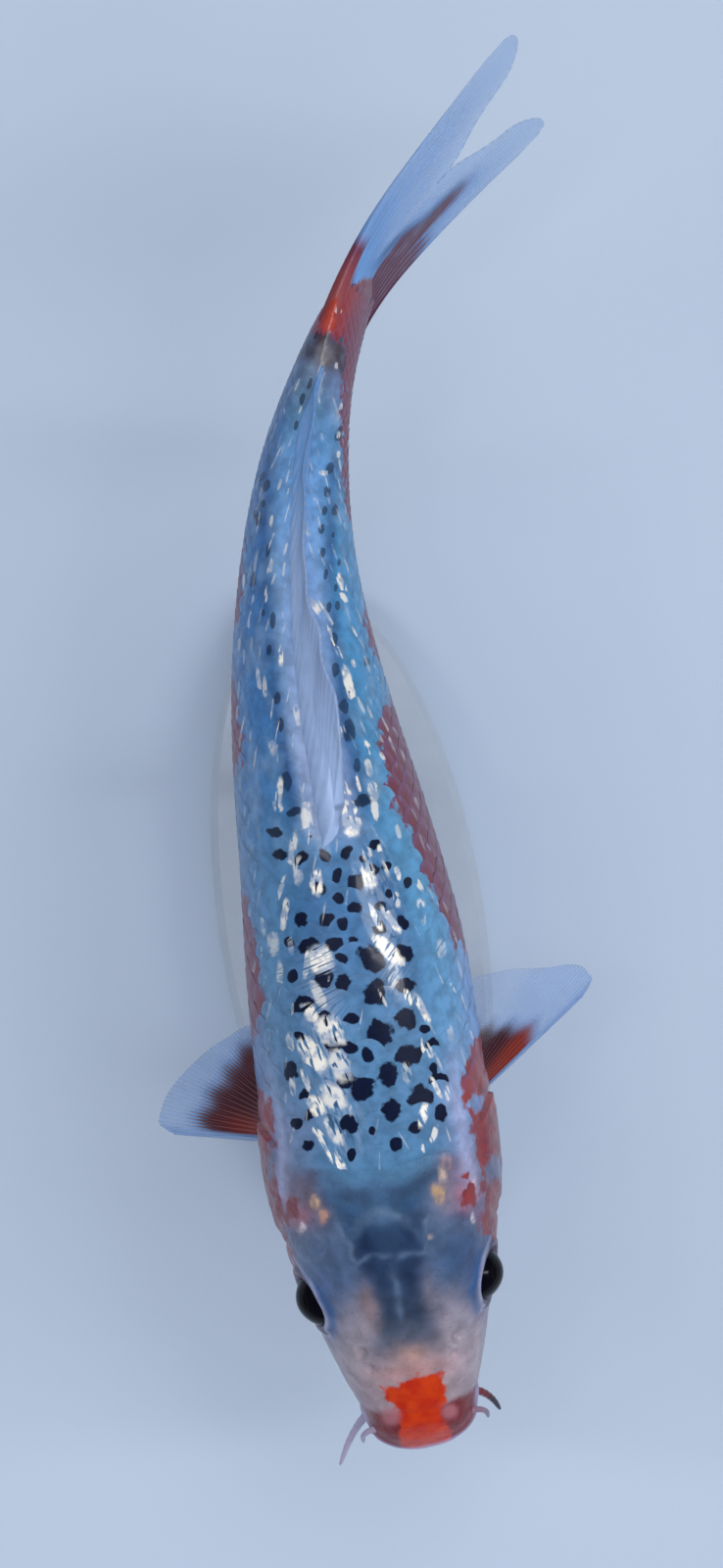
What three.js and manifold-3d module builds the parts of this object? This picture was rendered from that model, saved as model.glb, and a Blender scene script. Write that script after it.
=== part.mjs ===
// A life-size model of a young koi carp, swimming, on a plain display stand.
//
// Everything is shaped on a straight fish first and bent along the swimming curve last. On the straight fish
// x runs to the fish's left, y runs from the snout (0) back to the tail, and z runs up from the body's axis.
// The finished part is in millimetres, +Z up, with its origin at the middle of the stand's underside, and the
// snout points along -Y. Neighbouring pieces keep a small gap, so that each is a closed solid of its own.

import * as THREE from "three";
import { mergeVertices } from "three/addons/utils/BufferGeometryUtils.js";
import Module from "manifold-3d";

const wasm = await Module();
wasm.setup();

// ---------------------------------------------------------------- driving dimensions, in mm and degrees

const STANDARD_LENGTH = 174; // snout to the end of the tail's flesh
const AXIS_HEIGHT = 58; // the body's axis above the floor
const GAP = 0.3; // between neighbouring solids
const SNOUT_ROUNDING = 4.2; // length over which the blunt snout closes
const STEM_START = 131; // where the trunk gives way to the tail's stem
const FIN_EDGE = 0.5; // a fin's thickness at its free edge
const CLEAR = 40; // how far a cutting block reaches past the body

const STAND_CENTRE = 78; // the stand's middle, measured along the fish
const BASE = { length: 108, width: 42, height: 8, chamfer: 1.2 };
const ROD = { radius: 2, front: 56, rear: 100, collarRadius: 4, collarHeight: 2.4 };

const EYE = { along: 25.2, out: 10.7, up: 3.6, radius: 4.8 };

const HEAD_COLOUR = 0x8c93a8;
const BACK_COLOUR = 0x6f9cc0;
const WHITE_COLOUR = 0xc3cce0;
const RED_COLOUR = 0xa8462c;
const ORANGE_COLOUR = 0xc8421a;
const FIN_COLOUR = 0x8fb2d8;
const EYE_COLOUR = 0x0c0d12;
const STAND_COLOUR = 0xd9d6cf;
const STEEL_COLOUR = 0xb9bcc0;

// ---------------------------------------------------------------- curves

/** A smooth function through [x, y] points that never swings past them; it stays level outside them. */
function curveThrough(...points) {
  const slope = points.slice(1).map(([x, y], i) => (y - points[i][1]) / (x - points[i][0]));
  const tangent = points.map((_, i) => {
    const before = slope[i - 1] ?? slope[0];
    const after = slope[i] ?? slope[slope.length - 1];
    return before * after <= 0 ? 0 : (2 * before * after) / (before + after);
  });
  return (x) => {
    const last = points.length - 1;
    if (x <= points[0][0]) return points[0][1];
    if (x >= points[last][0]) return points[last][1];
    const i = points.findIndex((p) => p[0] > x) - 1;
    const width = points[i + 1][0] - points[i][0];
    const t = (x - points[i][0]) / width;
    return (
      points[i][1] * (1 + 2 * t) * (1 - t) ** 2 +
      tangent[i] * width * t * (1 - t) ** 2 +
      points[i + 1][1] * t * t * (3 - 2 * t) +
      tangent[i + 1] * width * t * t * (t - 1)
    );
  };
}

const radians = THREE.MathUtils.degToRad;
const mix = THREE.MathUtils.lerp;
const smooth = (x, from, to) => THREE.MathUtils.smoothstep(x, from, to);

// ---------------------------------------------------------------- the swimming curve

/** Degrees that the body points to the fish's left of straight back, by distance from the snout. */
const heading = curveThrough(
  [0, -11.7], [22, -9.2], [44, -7.7], [66, -7.2], [84, -9.8], [98, -11.2], [112, -8.6], [126, -4], [138, 1.6],
  [148, 7.3], [158, 13.7], [168, 21.1], [178, 31], [190, 39], [206, 42], [225, 43],
);

/** The twist of the tail about the body's axis, in degrees: the upper lobe leans to the fish's right. */
const twist = (y) => 16 * smooth(y, 136, 192);

/** The axis's point at a distance from the snout, found by adding up short steps from the stand's middle. */
const axisPoint = (() => {
  const step = 0.5;
  const points = [[0, 0]];
  for (let y = 0; y < 230; y += step) {
    const [x0, y0] = points[points.length - 1];
    const angle = radians(heading(y + step / 2));
    points.push([x0 + step * Math.sin(angle), y0 + step * Math.cos(angle)]);
  }
  const raw = (y) => {
    const at = THREE.MathUtils.clamp(y / step, 0, points.length - 2);
    const i = Math.floor(at);
    return [mix(points[i][0], points[i + 1][0], at - i), mix(points[i][1], points[i + 1][1], at - i)];
  };
  const [middleX, middleY] = raw(STAND_CENTRE);
  return (y) => raw(y).map((value, k) => value - [middleX, middleY][k]);
})();

/** Moves a point of the straight fish to its place on the swimming one. */
function bend(p) {
  const roll = radians(twist(p.y));
  const x = p.x * Math.cos(roll) - p.z * Math.sin(roll);
  const z = p.x * Math.sin(roll) + p.z * Math.cos(roll);
  const angle = radians(heading(p.y));
  const [axisX, axisY] = axisPoint(Math.max(p.y, 0));
  const ahead = Math.min(p.y, 0);
  return new THREE.Vector3(
    axisX + x * Math.cos(angle) + ahead * Math.sin(angle),
    axisY - x * Math.sin(angle) + ahead * Math.cos(angle),
    AXIS_HEIGHT + z,
  );
}

// ---------------------------------------------------------------- solids

/** A closed three.js geometry as a manifold-3d solid, turned the right way out. */
function solidOf(geometry) {
  const bare = geometry.index ? geometry.toNonIndexed() : geometry.clone();
  bare.deleteAttribute("normal");
  bare.deleteAttribute("uv");
  const merged = mergeVertices(bare, 1e-4);
  const triVerts = new Uint32Array(merged.index.array);
  const make = () =>
    new wasm.Manifold(
      new wasm.Mesh({ numProp: 3, vertProperties: merged.attributes.position.array, triVerts }),
    );
  const solid = make();
  if (solid.volume() > 0) return solid;
  for (let i = 0; i < triVerts.length; i += 3) {
    [triVerts[i + 1], triVerts[i + 2]] = [triVerts[i + 2], triVerts[i + 1]];
  }
  return make();
}

/** A geometry from a list of points and a list of triangles. */
function geometryOf(points, triangles) {
  const geometry = new THREE.BufferGeometry().setFromPoints(points);
  geometry.setIndex(triangles);
  return geometry;
}

/** The largest body of a solid, with slivers under a hundredth of a millimetre welded. */
function largest(solid) {
  const bodies = solid.simplify(0.01).decompose();
  return bodies.reduce((a, b) => (a.volume() > b.volume() ? a : b));
}

/** A manifold-3d solid as a three.js geometry, each corner moved by a function. */
function geometryFrom(solid, move = (p) => p) {
  const mesh = solid.getMesh();
  const points = [];
  for (let i = 0; i < mesh.numVert; i += 1) {
    const corner = mesh.vertProperties.subarray(i * mesh.numProp, i * mesh.numProp + 3);
    points.push(move(new THREE.Vector3(...corner)));
  }
  return geometryOf(points, Array.from(mesh.triVerts));
}

/** A skin over rings of points, each ring with as many points as the next, closed by a point at each end. */
function loft(rings, startPoint, endPoint) {
  const around = rings[0].length;
  const points = [startPoint, ...rings.flat(), endPoint];
  const end = points.length - 1;
  const triangles = [];
  for (let j = 0; j < around; j += 1) {
    const k = (j + 1) % around;
    triangles.push(0, 1 + k, 1 + j);
    triangles.push(end, end - around + j, end - around + k);
    for (let i = 0; i < rings.length - 1; i += 1) {
      const here = 1 + i * around;
      triangles.push(here + j, here + k, here + around + j);
      triangles.push(here + k, here + around + k, here + around + j);
    }
  }
  return solidOf(geometryOf(points, triangles));
}

/** A plate about a middle surface at(u, v), as thick as thickness(u, v), over u and v from 0 to 1. */
function plate(at, thickness, across, along) {
  const step = 1e-3;
  const side = (sign) => {
    const points = [];
    for (let i = 0; i <= across; i += 1) {
      for (let j = 0; j <= along; j += 1) {
        const [u, v] = [i / across, j / along];
        const [u0, v0] = [Math.min(u, 1 - step), Math.min(v, 1 - step)];
        const corner = at(u0, v0);
        const normal = at(u0 + step, v0).sub(corner).cross(at(u0, v0 + step).sub(corner)).normalize();
        points.push(at(u, v).addScaledVector(normal, (sign * thickness(u, v)) / 2));
      }
    }
    return points;
  };
  const row = along + 1;
  const back = (across + 1) * row;
  const triangles = [];
  for (let i = 0; i < across; i += 1) {
    for (let j = 0; j < along; j += 1) {
      const [a, b, c, d] = [i * row + j, (i + 1) * row + j, (i + 1) * row + j + 1, i * row + j + 1];
      triangles.push(a, b, c, a, c, d, back + a, back + c, back + b, back + a, back + d, back + c);
    }
  }
  const wall = (a, b) => triangles.push(a, back + a, back + b, a, back + b, b);
  for (let i = 0; i < across; i += 1) {
    wall(i * row, (i + 1) * row);
    wall((i + 1) * row + along, i * row + along);
  }
  for (let j = 0; j < along; j += 1) {
    wall(j + 1, j);
    wall(across * row + j, across * row + j + 1);
  }
  return solidOf(geometryOf([...side(1), ...side(-1)], triangles));
}

/** A block whose side view is an outline of [y, z] points, right across the body or from one x to another. */
function sideBlock(outline, from = -CLEAR, to = CLEAR) {
  const shape = new THREE.Shape(outline.map(([y, z]) => new THREE.Vector2(y, z)));
  const geometry = new THREE.ExtrudeGeometry(shape, { depth: to - from, bevelEnabled: false, steps: 1 });
  // The extrusion's own axes are y, z and x of the fish, in that order.
  geometry.applyMatrix4(new THREE.Matrix4().makeBasis(
    new THREE.Vector3(0, 1, 0), new THREE.Vector3(0, 0, 1), new THREE.Vector3(1, 0, 0),
  ));
  geometry.translate(from, 0, 0);
  return solidOf(geometry);
}

// ---------------------------------------------------------------- the body's shape

const halfWidth = curveThrough(
  [0, 7.2], [5, 8.1], [13, 10.9], [22, 13.5], [34, 16.3], [45, 17.6], [56, 17.3], [72, 16.8], [93, 14.7],
  [112, 12.2], [135, 8.7], [150, 6.6], [162, 4.7], [174, 3],
);
const topLine = curveThrough(
  [0, 1.2], [5, 4.6], [10, 7.6], [18, 11.8], [27, 15.6], [40, 19.8], [52, 22.4], [70, 24.8], [88, 25.3],
  [105, 23.2], [125, 18.2], [145, 12.8], [160, 10.3], [174, 10.6],
);
const bottomLine = curveThrough(
  [0, -7.2], [5, -9.6], [10, -11.6], [18, -14.4], [27, -17], [40, -20], [55, -21.8], [75, -22.6], [92, -22],
  [110, -19], [130, -14.3], [145, -11.2], [160, -9.6], [174, -10],
);
/** The height at which the body is widest. */
const wideLine = curveThrough([0, -3.4], [8, -5.6], [20, -4], [45, -2], [75, -1], [120, 0], [174, 0]);
/** How square the section is above and below that height: 2 is an ellipse. */
const upperFullness = curveThrough([0, 2.2], [30, 2.5], [45, 2.4], [70, 2.15], [110, 2], [174, 1.9]);
const lowerFullness = curveThrough([0, 2], [30, 2.2], [70, 2.3], [120, 2], [174, 1.9]);

/** The body's surface grown by a distance, at a place along it and an angle from the top, left positive. */
function bodyPoint(y, angle, grown = 0) {
  const closing = Math.sqrt(Math.max(1 - (1 - Math.min(y / SNOUT_ROUNDING, 1)) ** 2, 0));
  const [sine, cosine] = [Math.sin(angle), Math.cos(angle)];
  const middle = wideLine(y);
  const height = (cosine > 0 ? topLine(y) - middle : middle - bottomLine(y)) * closing + grown;
  const power = 2 / (cosine > 0 ? upperFullness(y) : lowerFullness(y));
  const ahead = grown * (1 - Math.min(y / SNOUT_ROUNDING, 1));
  return new THREE.Vector3(
    (halfWidth(y) * closing + grown) * Math.sign(sine) * Math.abs(sine) ** power,
    y - ahead,
    middle + height * Math.sign(cosine) * Math.abs(cosine) ** power,
  );
}

/** The whole body as one solid, grown by a distance. */
function wholeBody(grown = 0, around = 32) {
  const stations = [0.15, 0.7, 1.7, 3.2, 5, 7.5];
  for (let y = 11; y < STANDARD_LENGTH - 1; y += y < 48 ? 4 : 5.2) stations.push(y);
  stations.push(STANDARD_LENGTH);
  const rings = stations.map((y) =>
    Array.from({ length: around }, (_, j) => bodyPoint(y, (2 * Math.PI * j) / around, grown)),
  );
  return loft(
    rings,
    new THREE.Vector3(0, -grown, wideLine(0)),
    new THREE.Vector3(0, STANDARD_LENGTH + 1.2 + grown, 0),
  );
}

const body = wholeBody();
const bodyWithGap = wholeBody(GAP);

// ---------------------------------------------------------------- the head and its pieces

/** The gill slit in side view, from the nape round the cover's free edge and forward under the throat. */
const GILL_SLIT = [
  [40, 30], [42, 21], [46.5, 15], [50, 8], [51.6, 0], [50.6, -7], [47, -13], [41, -17.5], [35, -20],
  [32, -26],
];
/** The gill cover stands proud of the head, is let into it, and keeps off the fish's middle. */
const COVER = { proud: 0.35, depth: 1.9, innerEdge: 9 };
/** The front edge of the gill cover, along the cheek. */
const COVER_FRONT = [[33, -17], [35, -10], [35, -2], [37.5, 6], [41, 11]];

const slitCurve = new THREE.SplineCurve(GILL_SLIT.map(([y, z]) => new THREE.Vector2(y, z)));
/** The slit's points, moved back along the fish by a distance, over a stretch of its length. */
const slitPoints = (back, from = 0, to = 1, steps = 16) =>
  Array.from({ length: steps + 1 }, (_, i) => {
    const point = slitCurve.getPoint(mix(from, to, i / steps));
    return [point.x + back, point.y];
  });

/** Everything ahead of the slit, when the slit is moved back by a distance. */
const frontOfSlit = (back) =>
  sideBlock([
    [-CLEAR, -CLEAR], [-CLEAR, CLEAR], [40 + back, CLEAR], ...slitPoints(back), [32 + back, -CLEAR],
  ]);

/** One gill cover in side view, with room about it: the cheek's edge upwards, then the slit downwards. */
const coverOutline = (room) => {
  const front = COVER_FRONT.map(([y, z]) => [y - room, z]);
  const back = slitPoints(room - GAP, 0.26, 0.79, 10);
  front[0][1] -= room;
  front[front.length - 1][1] += room;
  back[0][1] += room;
  back[back.length - 1][1] -= room;
  return [...front, ...back];
};
const coverBlock = (side, room) => {
  const inner = COVER.innerEdge - room;
  const outline = coverOutline(room);
  return side > 0 ? sideBlock(outline, inner, CLEAR) : sideBlock(outline, -CLEAR, -inner);
};
const bodyUnderCover = wholeBody(-COVER.depth);
const bodyUnderCoverWithGap = wholeBody(-COVER.depth - GAP);
const bodyOverCover = wholeBody(COVER.proud);

/** One gill cover: a plate that stands a little proud of the head, cut to the slit at the back. */
const gillCover = (side) => largest(bodyOverCover.intersect(coverBlock(side, 0)).subtract(bodyUnderCover));

/** The lower jaw in side view: under the mouth's line, back to the chin. */
const jawOutline = (room) => [
  [-4, -3.2 + room], [2, -3.7 + room], [7.2 + room, -5.6 + room], [9.6 + room, -8.4], [24 + room, -13.6],
  [25 + room, -CLEAR], [-4, -CLEAR],
];
/** The upper lip in side view: the rim of the mouth, above its line. */
const lipOutline = (room) => [
  [-4, -3.2 - GAP - room], [2, -3.7 - GAP - room], [6.8, -5.4 - GAP], [5.4 + room, -1.6],
  [3 + room, 1.6 + room], [-4, 2.4 + room],
];
const jawBlock = sideBlock(jawOutline(0));
const lowerJaw = largest(body.intersect(sideBlock(jawOutline(-GAP))));
const upperLip = largest(body.intersect(sideBlock(lipOutline(0))).subtract(jawBlock));

/** An eyeball, with room for its socket if it is grown. */
function eyeball(side, grown = 0) {
  const geometry = new THREE.SphereGeometry(EYE.radius + grown, 18, 12);
  geometry.translate(side * EYE.out, EYE.along, EYE.up);
  return solidOf(geometry);
}

/** The head, less what is fitted into it. */
function headSolid() {
  let solid = body.intersect(frontOfSlit(-GAP));
  for (const side of [1, -1]) {
    solid = solid.subtract(coverBlock(side, GAP).subtract(bodyUnderCoverWithGap));
    solid = solid.subtract(eyeball(side, GAP));
  }
  return largest(solid.subtract(jawBlock).subtract(sideBlock(lipOutline(GAP))));
}

// ---------------------------------------------------------------- trunk and tail stem

/** Everything behind a cut square across the body. */
const behind = (y) =>
  sideBlock([[y, -CLEAR], [STANDARD_LENGTH + CLEAR, -CLEAR], [STANDARD_LENGTH + CLEAR, CLEAR], [y, CLEAR]]);
const trunk = largest(body.subtract(frontOfSlit(0)).subtract(behind(STEM_START)));
const tailStem = largest(body.intersect(behind(STEM_START + GAP)));

// ---------------------------------------------------------------- barbels

/** A feeler that tapers along a curve of points to a round tip. */
function barbel(points, rootRadius, tipRadius) {
  const curve = new THREE.CatmullRomCurve3(points.map((p) => new THREE.Vector3(...p)));
  const steps = 8;
  const { normals, binormals } = curve.computeFrenetFrames(steps, false);
  const rings = Array.from({ length: steps + 1 }, (_, i) => {
    const centre = curve.getPointAt(i / steps);
    const radius = mix(rootRadius, tipRadius, i / steps);
    return Array.from({ length: 8 }, (__, j) => {
      const angle = (2 * Math.PI * j) / 8;
      return centre
        .clone()
        .addScaledVector(normals[i], radius * Math.cos(angle))
        .addScaledVector(binormals[i], radius * Math.sin(angle));
    });
  });
  const tip = curve.getPointAt(1).addScaledVector(curve.getTangentAt(1), tipRadius * 0.8);
  return largest(loft(rings, curve.getPointAt(0), tip).subtract(bodyWithGap));
}

/** The long barbels at the corners of the mouth: the right one hangs further out than the left. */
const longBarbel = (side) =>
  side > 0
    ? barbel([[7, 6.8, -5.6], [9.2, 6, -7.2], [10.8, 4.2, -9.4], [11.6, 2.2, -11.6]], 0.75, 0.35)
    : barbel([[-7, 6.8, -5.6], [-9.4, 5, -7.6], [-11.8, 2.2, -10.4], [-14, -1.4, -13]], 0.75, 0.35);
/** The short barbels on the upper lip. */
const shortBarbel = (side) => {
  const route = [[6.6, 4.2, -1.4], [8.6, 3.8, -2.6], [9.5, 3, -4.4], [9.6, 2, -6.2]];
  return barbel(route.map(([x, y, z]) => [side * x, y, z]), 0.55, 0.3);
};

// ---------------------------------------------------------------- fins

/** Thickness that falls from the root to the free edge. */
const finThickness = (root) => (u, v) => mix(root, FIN_EDGE, v ** 0.6);

/** The dorsal fin, lowered along the back: rays swept far back and leaning to the fish's left. */
const DORSAL = { start: 90, end: 152, rise: 22, lean: 42 };
const dorsalRay = curveThrough([0, 15], [0.06, 20.5], [0.2, 19], [0.5, 13.5], [1, 11]);
function dorsalPoint(u, v) {
  const y = mix(DORSAL.start, DORSAL.end, u);
  const slope = Math.atan((topLine(y + 1) - topLine(y - 1)) / 2);
  const rise = radians(DORSAL.rise) + slope;
  const reach = dorsalRay(u) * v;
  const up = reach * Math.sin(rise);
  const lean = radians(DORSAL.lean) * smooth(v, 0, 0.5);
  const root = new THREE.Vector3(0, y, topLine(y) - 1.2);
  return root.add(new THREE.Vector3(up * Math.sin(lean), reach * Math.cos(rise), up * Math.cos(lean)));
}
const dorsalFin = largest(
  plate(dorsalPoint, (u, v) => mix(5.4 - 2.2 * u, FIN_EDGE, v ** 0.6), 22, 7).subtract(bodyWithGap),
);

/** The anal fin, under the tail's stem. */
const ANAL = { start: 136, end: 149 };
const analRay = curveThrough([0, 21], [0.08, 23.5], [0.35, 19], [1, 11]);
function analPoint(u, v) {
  const y = mix(ANAL.start, ANAL.end, u);
  const drop = radians(mix(48, 30, u));
  const reach = analRay(u) * v;
  const curl = 1.6 * v * v;
  return new THREE.Vector3(curl, y + reach * Math.cos(drop), bottomLine(y) + 1.2 - reach * Math.sin(drop));
}
const analFin = largest(plate(analPoint, finThickness(1.8), 8, 6).subtract(bodyWithGap));

/**
 * A paired fin: rays fan from a short root line, from the leading ray's direction to the trailing ray's, and
 * bow towards a side by a share of their length.
 */
function fanFin({ roots, lead, trail, ray, bow, rootThickness }) {
  const [first, last] = roots.map((p) => new THREE.Vector3(...p));
  const [ahead, behind] = [lead, trail].map((p) => new THREE.Vector3(...p).normalize());
  const side = new THREE.Vector3(...bow);
  const at = (u, v) => {
    const direction = ahead.clone().lerp(behind, u).normalize();
    const reach = ray(u) * v;
    return first.clone().lerp(last, u).addScaledVector(direction, reach).addScaledVector(side, reach * v);
  };
  return largest(plate(at, finThickness(rootThickness), 10, 6).subtract(bodyWithGap));
}

/** The right pectoral fin stands out square from the body and slopes down; the left one is swept back. */
const rightPectoral = () =>
  fanFin({
    roots: [[-12.6, 47.2, -13], [-11.6, 52.6, -16.2]],
    lead: [-0.74, 0.1, -0.66], trail: [-0.12, 0.82, -0.56],
    ray: curveThrough([0, 24], [0.06, 27.5], [0.2, 27], [0.5, 22.5], [0.8, 18], [1, 14]),
    bow: [-0.04, 0.02, 0.1], rootThickness: 2.2,
  });
const leftPectoral = () =>
  fanFin({
    roots: [[12.4, 48.2, -13], [11.8, 53.6, -16]],
    lead: [0.68, 0.44, -0.56], trail: [0.26, 0.86, -0.44],
    ray: curveThrough([0, 27], [0.05, 30], [0.12, 30], [0.35, 25], [0.7, 19], [1, 15]),
    bow: [0.1, 0.1, 0.06], rootThickness: 2.2,
  });

const pelvicRay = curveThrough([0, 21], [0.1, 24], [0.4, 22], [1, 13]);
const pelvicFin = (side) =>
  fanFin({
    roots: [[side * 6.4, 85, -19.4], [side * 3.6, 89.5, -20.4]],
    lead: [side * 0.3, 0.8, -0.52], trail: [side * 0.04, 0.97, -0.26],
    ray: pelvicRay, bow: [side * -0.04, 0.04, 0.03], rootThickness: 1.8,
  });

/** One lobe of the tail fin: rays from the stem's end, long at the outer edge and short at the fork. */
const TAIL = { root: 169, halfGap: 0.35, rootHeight: 9.4, spread: 15 };
const tailRay = {
  upper: curveThrough([0, 45], [0.05, 49], [0.14, 50], [0.4, 45], [0.7, 34], [1, 24]),
  lower: curveThrough([0, 41.5], [0.05, 45.5], [0.14, 46.8], [0.4, 42], [0.7, 33], [1, 24]),
};
function tailLobe(side) {
  const ray = side > 0 ? tailRay.upper : tailRay.lower;
  const at = (u, v) => {
    const angle = radians(TAIL.spread * (1 - u) ** 1.4);
    const reach = ray(u) * v;
    const rootHeight = mix(TAIL.rootHeight, TAIL.halfGap, u);
    const y = TAIL.root + 3 * u + reach * Math.cos(angle);
    return new THREE.Vector3(0, y, side * (rootHeight + reach * Math.sin(angle) - 1.2 * v * (1 - u)));
  };
  return largest(plate(at, (u, v) => mix(2.6, FIN_EDGE, v ** 0.5), 12, 12).subtract(bodyWithGap));
}

// ---------------------------------------------------------------- the display stand

/** The base: an oval plate with a chamfered upper edge, lying along the fish's front half. */
function standBase() {
  const outline = (inset, z) =>
    Array.from({ length: 48 }, (_, i) => {
      const angle = (2 * Math.PI * i) / 48;
      const [halfX, halfY] = [BASE.width / 2 - inset, BASE.length / 2 - inset];
      return new THREE.Vector3(halfX * Math.cos(angle), halfY * Math.sin(angle), z);
    });
  const top = BASE.height;
  return loft(
    [outline(0, 0), outline(0, top - BASE.chamfer), outline(BASE.chamfer, top)],
    new THREE.Vector3(0, 0, 0),
    new THREE.Vector3(0, 0, top),
  );
}

/** A rod from the base up to the belly, with a collar at its foot, cut to the belly's curve. */
function standRod(y) {
  const foot = BASE.height - AXIS_HEIGHT;
  const profile = [
    [0, 0], [ROD.collarRadius, 0], [ROD.collarRadius, ROD.collarHeight], [ROD.radius, ROD.collarHeight + 0.8],
    [ROD.radius, 40], [0, 40],
  ];
  const geometry = new THREE.LatheGeometry(profile.map(([r, z]) => new THREE.Vector2(r, z)), 20);
  geometry.rotateX(Math.PI / 2);
  geometry.translate(0, y, foot);
  return largest(solidOf(geometry).subtract(bodyWithGap));
}

// ---------------------------------------------------------------- the finished part

const part = new THREE.Group();
part.name = "koi_carp";

function add(name, geometry, color, roughness = 0.4, metalness = 0) {
  const material = new THREE.MeshStandardMaterial({ color, roughness, metalness, flatShading: true });
  const mesh = new THREE.Mesh(geometry, material);
  mesh.name = name;
  part.add(mesh);
  return mesh;
}
const bent = (solid) => geometryFrom(solid, bend);

add("head", bent(headSolid()), HEAD_COLOUR);
add("upper_lip", bent(upperLip), WHITE_COLOUR);
add("lower_jaw", bent(lowerJaw), WHITE_COLOUR);
add("trunk", bent(trunk), BACK_COLOUR, 0.3, 0.2);
add("tail_stem", bent(tailStem), ORANGE_COLOUR, 0.3, 0.1);
for (const [side, name] of [[1, "left"], [-1, "right"]]) {
  add(`gill_cover_${name}`, bent(gillCover(side)), RED_COLOUR);
  add(`eye_${name}`, bent(eyeball(side)), EYE_COLOUR, 0.1);
  add(`barbel_long_${name}`, bent(longBarbel(side)), WHITE_COLOUR);
  add(`barbel_short_${name}`, bent(shortBarbel(side)), WHITE_COLOUR);
  add(`pectoral_fin_${name}`, bent(side > 0 ? leftPectoral() : rightPectoral()), RED_COLOUR);
  add(`pelvic_fin_${name}`, bent(pelvicFin(side)), FIN_COLOUR);
  add(`caudal_fin_${side > 0 ? "upper" : "lower"}`, bent(tailLobe(side)), FIN_COLOUR);
}
add("dorsal_fin", bent(dorsalFin), WHITE_COLOUR);
add("anal_fin", bent(analFin), FIN_COLOUR);

const base = add("stand_base", geometryFrom(standBase()), STAND_COLOUR, 0.5);
base.rotation.z = radians(-heading(STAND_CENTRE));
add("stand_rod_front", bent(standRod(ROD.front)), STEEL_COLOUR, 0.3, 1);
add("stand_rod_rear", bent(standRod(ROD.rear)), STEEL_COLOUR, 0.3, 1);

export default part;
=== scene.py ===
"""A young koi carp, life size, swimming, on a plain display stand.

The fish is worked out straight, in millimetres: x to its left, y from the snout back, z up from the body's axis.
Its shapes are bent along the swimming curve and turned into metres as they go into their meshes.
"""
import bpy
import numpy as np
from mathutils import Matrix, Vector


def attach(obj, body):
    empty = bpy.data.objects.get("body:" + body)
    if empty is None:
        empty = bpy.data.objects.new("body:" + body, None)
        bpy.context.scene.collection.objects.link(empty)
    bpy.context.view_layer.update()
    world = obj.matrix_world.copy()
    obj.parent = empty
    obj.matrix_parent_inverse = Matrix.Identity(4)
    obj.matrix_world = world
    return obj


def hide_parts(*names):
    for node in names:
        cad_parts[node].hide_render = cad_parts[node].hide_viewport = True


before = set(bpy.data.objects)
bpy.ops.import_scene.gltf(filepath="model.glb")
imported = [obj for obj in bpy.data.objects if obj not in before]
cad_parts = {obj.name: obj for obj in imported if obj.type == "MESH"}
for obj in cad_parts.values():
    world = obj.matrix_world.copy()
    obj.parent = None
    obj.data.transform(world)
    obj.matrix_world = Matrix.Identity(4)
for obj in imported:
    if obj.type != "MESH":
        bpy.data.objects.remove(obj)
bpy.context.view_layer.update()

# ------------------------------------------------------------------------------------------------------------
# The skin. A koi's body is one muscular form under a thin wet skin, bare and smooth on the head and the gill
# covers, and carrying the scales from the nape back. It is modelled in one piece, snout to tail root: lips,
# nostrils, eye sockets, cheeks and gill covers are raised or sunk in it, and it runs out between the tail's rays.

AXIS_HEIGHT = 58  # of the body's axis over the floor
SNOUT_ROUNDING = 4.2
SKIN_END = 181
SCALE_DEPTH = 0.55  # from the scales' outer faces down to the skin under them


def curve(points):
    """A smooth line through (place, value) points. Between two points it is a cubic, whose slope at each point is
    the harmonic mean of the slopes on its two sides, or none where they differ in sign. It is level outside."""
    place, value = np.array(points, float).T
    slope = np.diff(value) / np.diff(place)
    before = np.concatenate([slope[:1], slope])
    after = np.concatenate([slope, slope[-1:]])
    total = np.where(before * after > 0, before + after, 1)
    tangent = np.where(before * after > 0, 2 * before * after / total, 0)

    def line(at):
        at = np.clip(at, place[0], place[-1])
        i = np.clip(np.searchsorted(place, at, side="right") - 1, 0, len(place) - 2)
        width = place[i + 1] - place[i]
        t = (at - place[i]) / width
        return (
            value[i] * (1 + 2 * t) * (1 - t) ** 2
            + tangent[i] * width * t * (1 - t) ** 2
            + value[i + 1] * t * t * (3 - 2 * t)
            + tangent[i + 1] * width * t * t * (t - 1)
        )

    return line


def stack(*parts):
    """One array of vectors from their parts, each widened to the common shape."""
    return np.stack(np.broadcast_arrays(*parts), -1)


def unit(vectors):
    """Each vector at length 1."""
    return vectors / (np.linalg.norm(vectors, axis=-1, keepdims=True) + 1e-9)


def smooth(value, low, high):
    """0 at low, 1 at high, level outside them and an even S between them. It falls where low is the greater."""
    t = np.clip((value - low) / (high - low), 0, 1)
    return t * t * (3 - 2 * t)


def bell(distance, width):
    """1 at no distance, falling off on both sides as a bell of that half width."""
    return np.exp(-((distance / width) ** 2))


def mottle(p, size, seed):
    """A smooth random value from -1 to 1 at each point: random numbers stand at the corners of cubes of the given
    size, and a point takes the mean of the eight around it, each weighed by an S curve of its nearness."""
    q = np.asarray(p) / size + 7.31 * seed
    cell = np.floor(q).astype(int)
    part = q - cell
    part = part * part * (3 - 2 * part)
    repeat = 48  # corners along each side, before the same numbers come again
    table = np.random.default_rng(seed).uniform(-1, 1, (repeat, repeat, repeat))
    total = 0
    for corner in np.ndindex(2, 2, 2):
        i = np.moveaxis((cell + corner) % repeat, -1, 0)
        total = total + np.prod(np.where(corner, part, 1 - part), -1) * table[tuple(i)]
    return total


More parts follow.
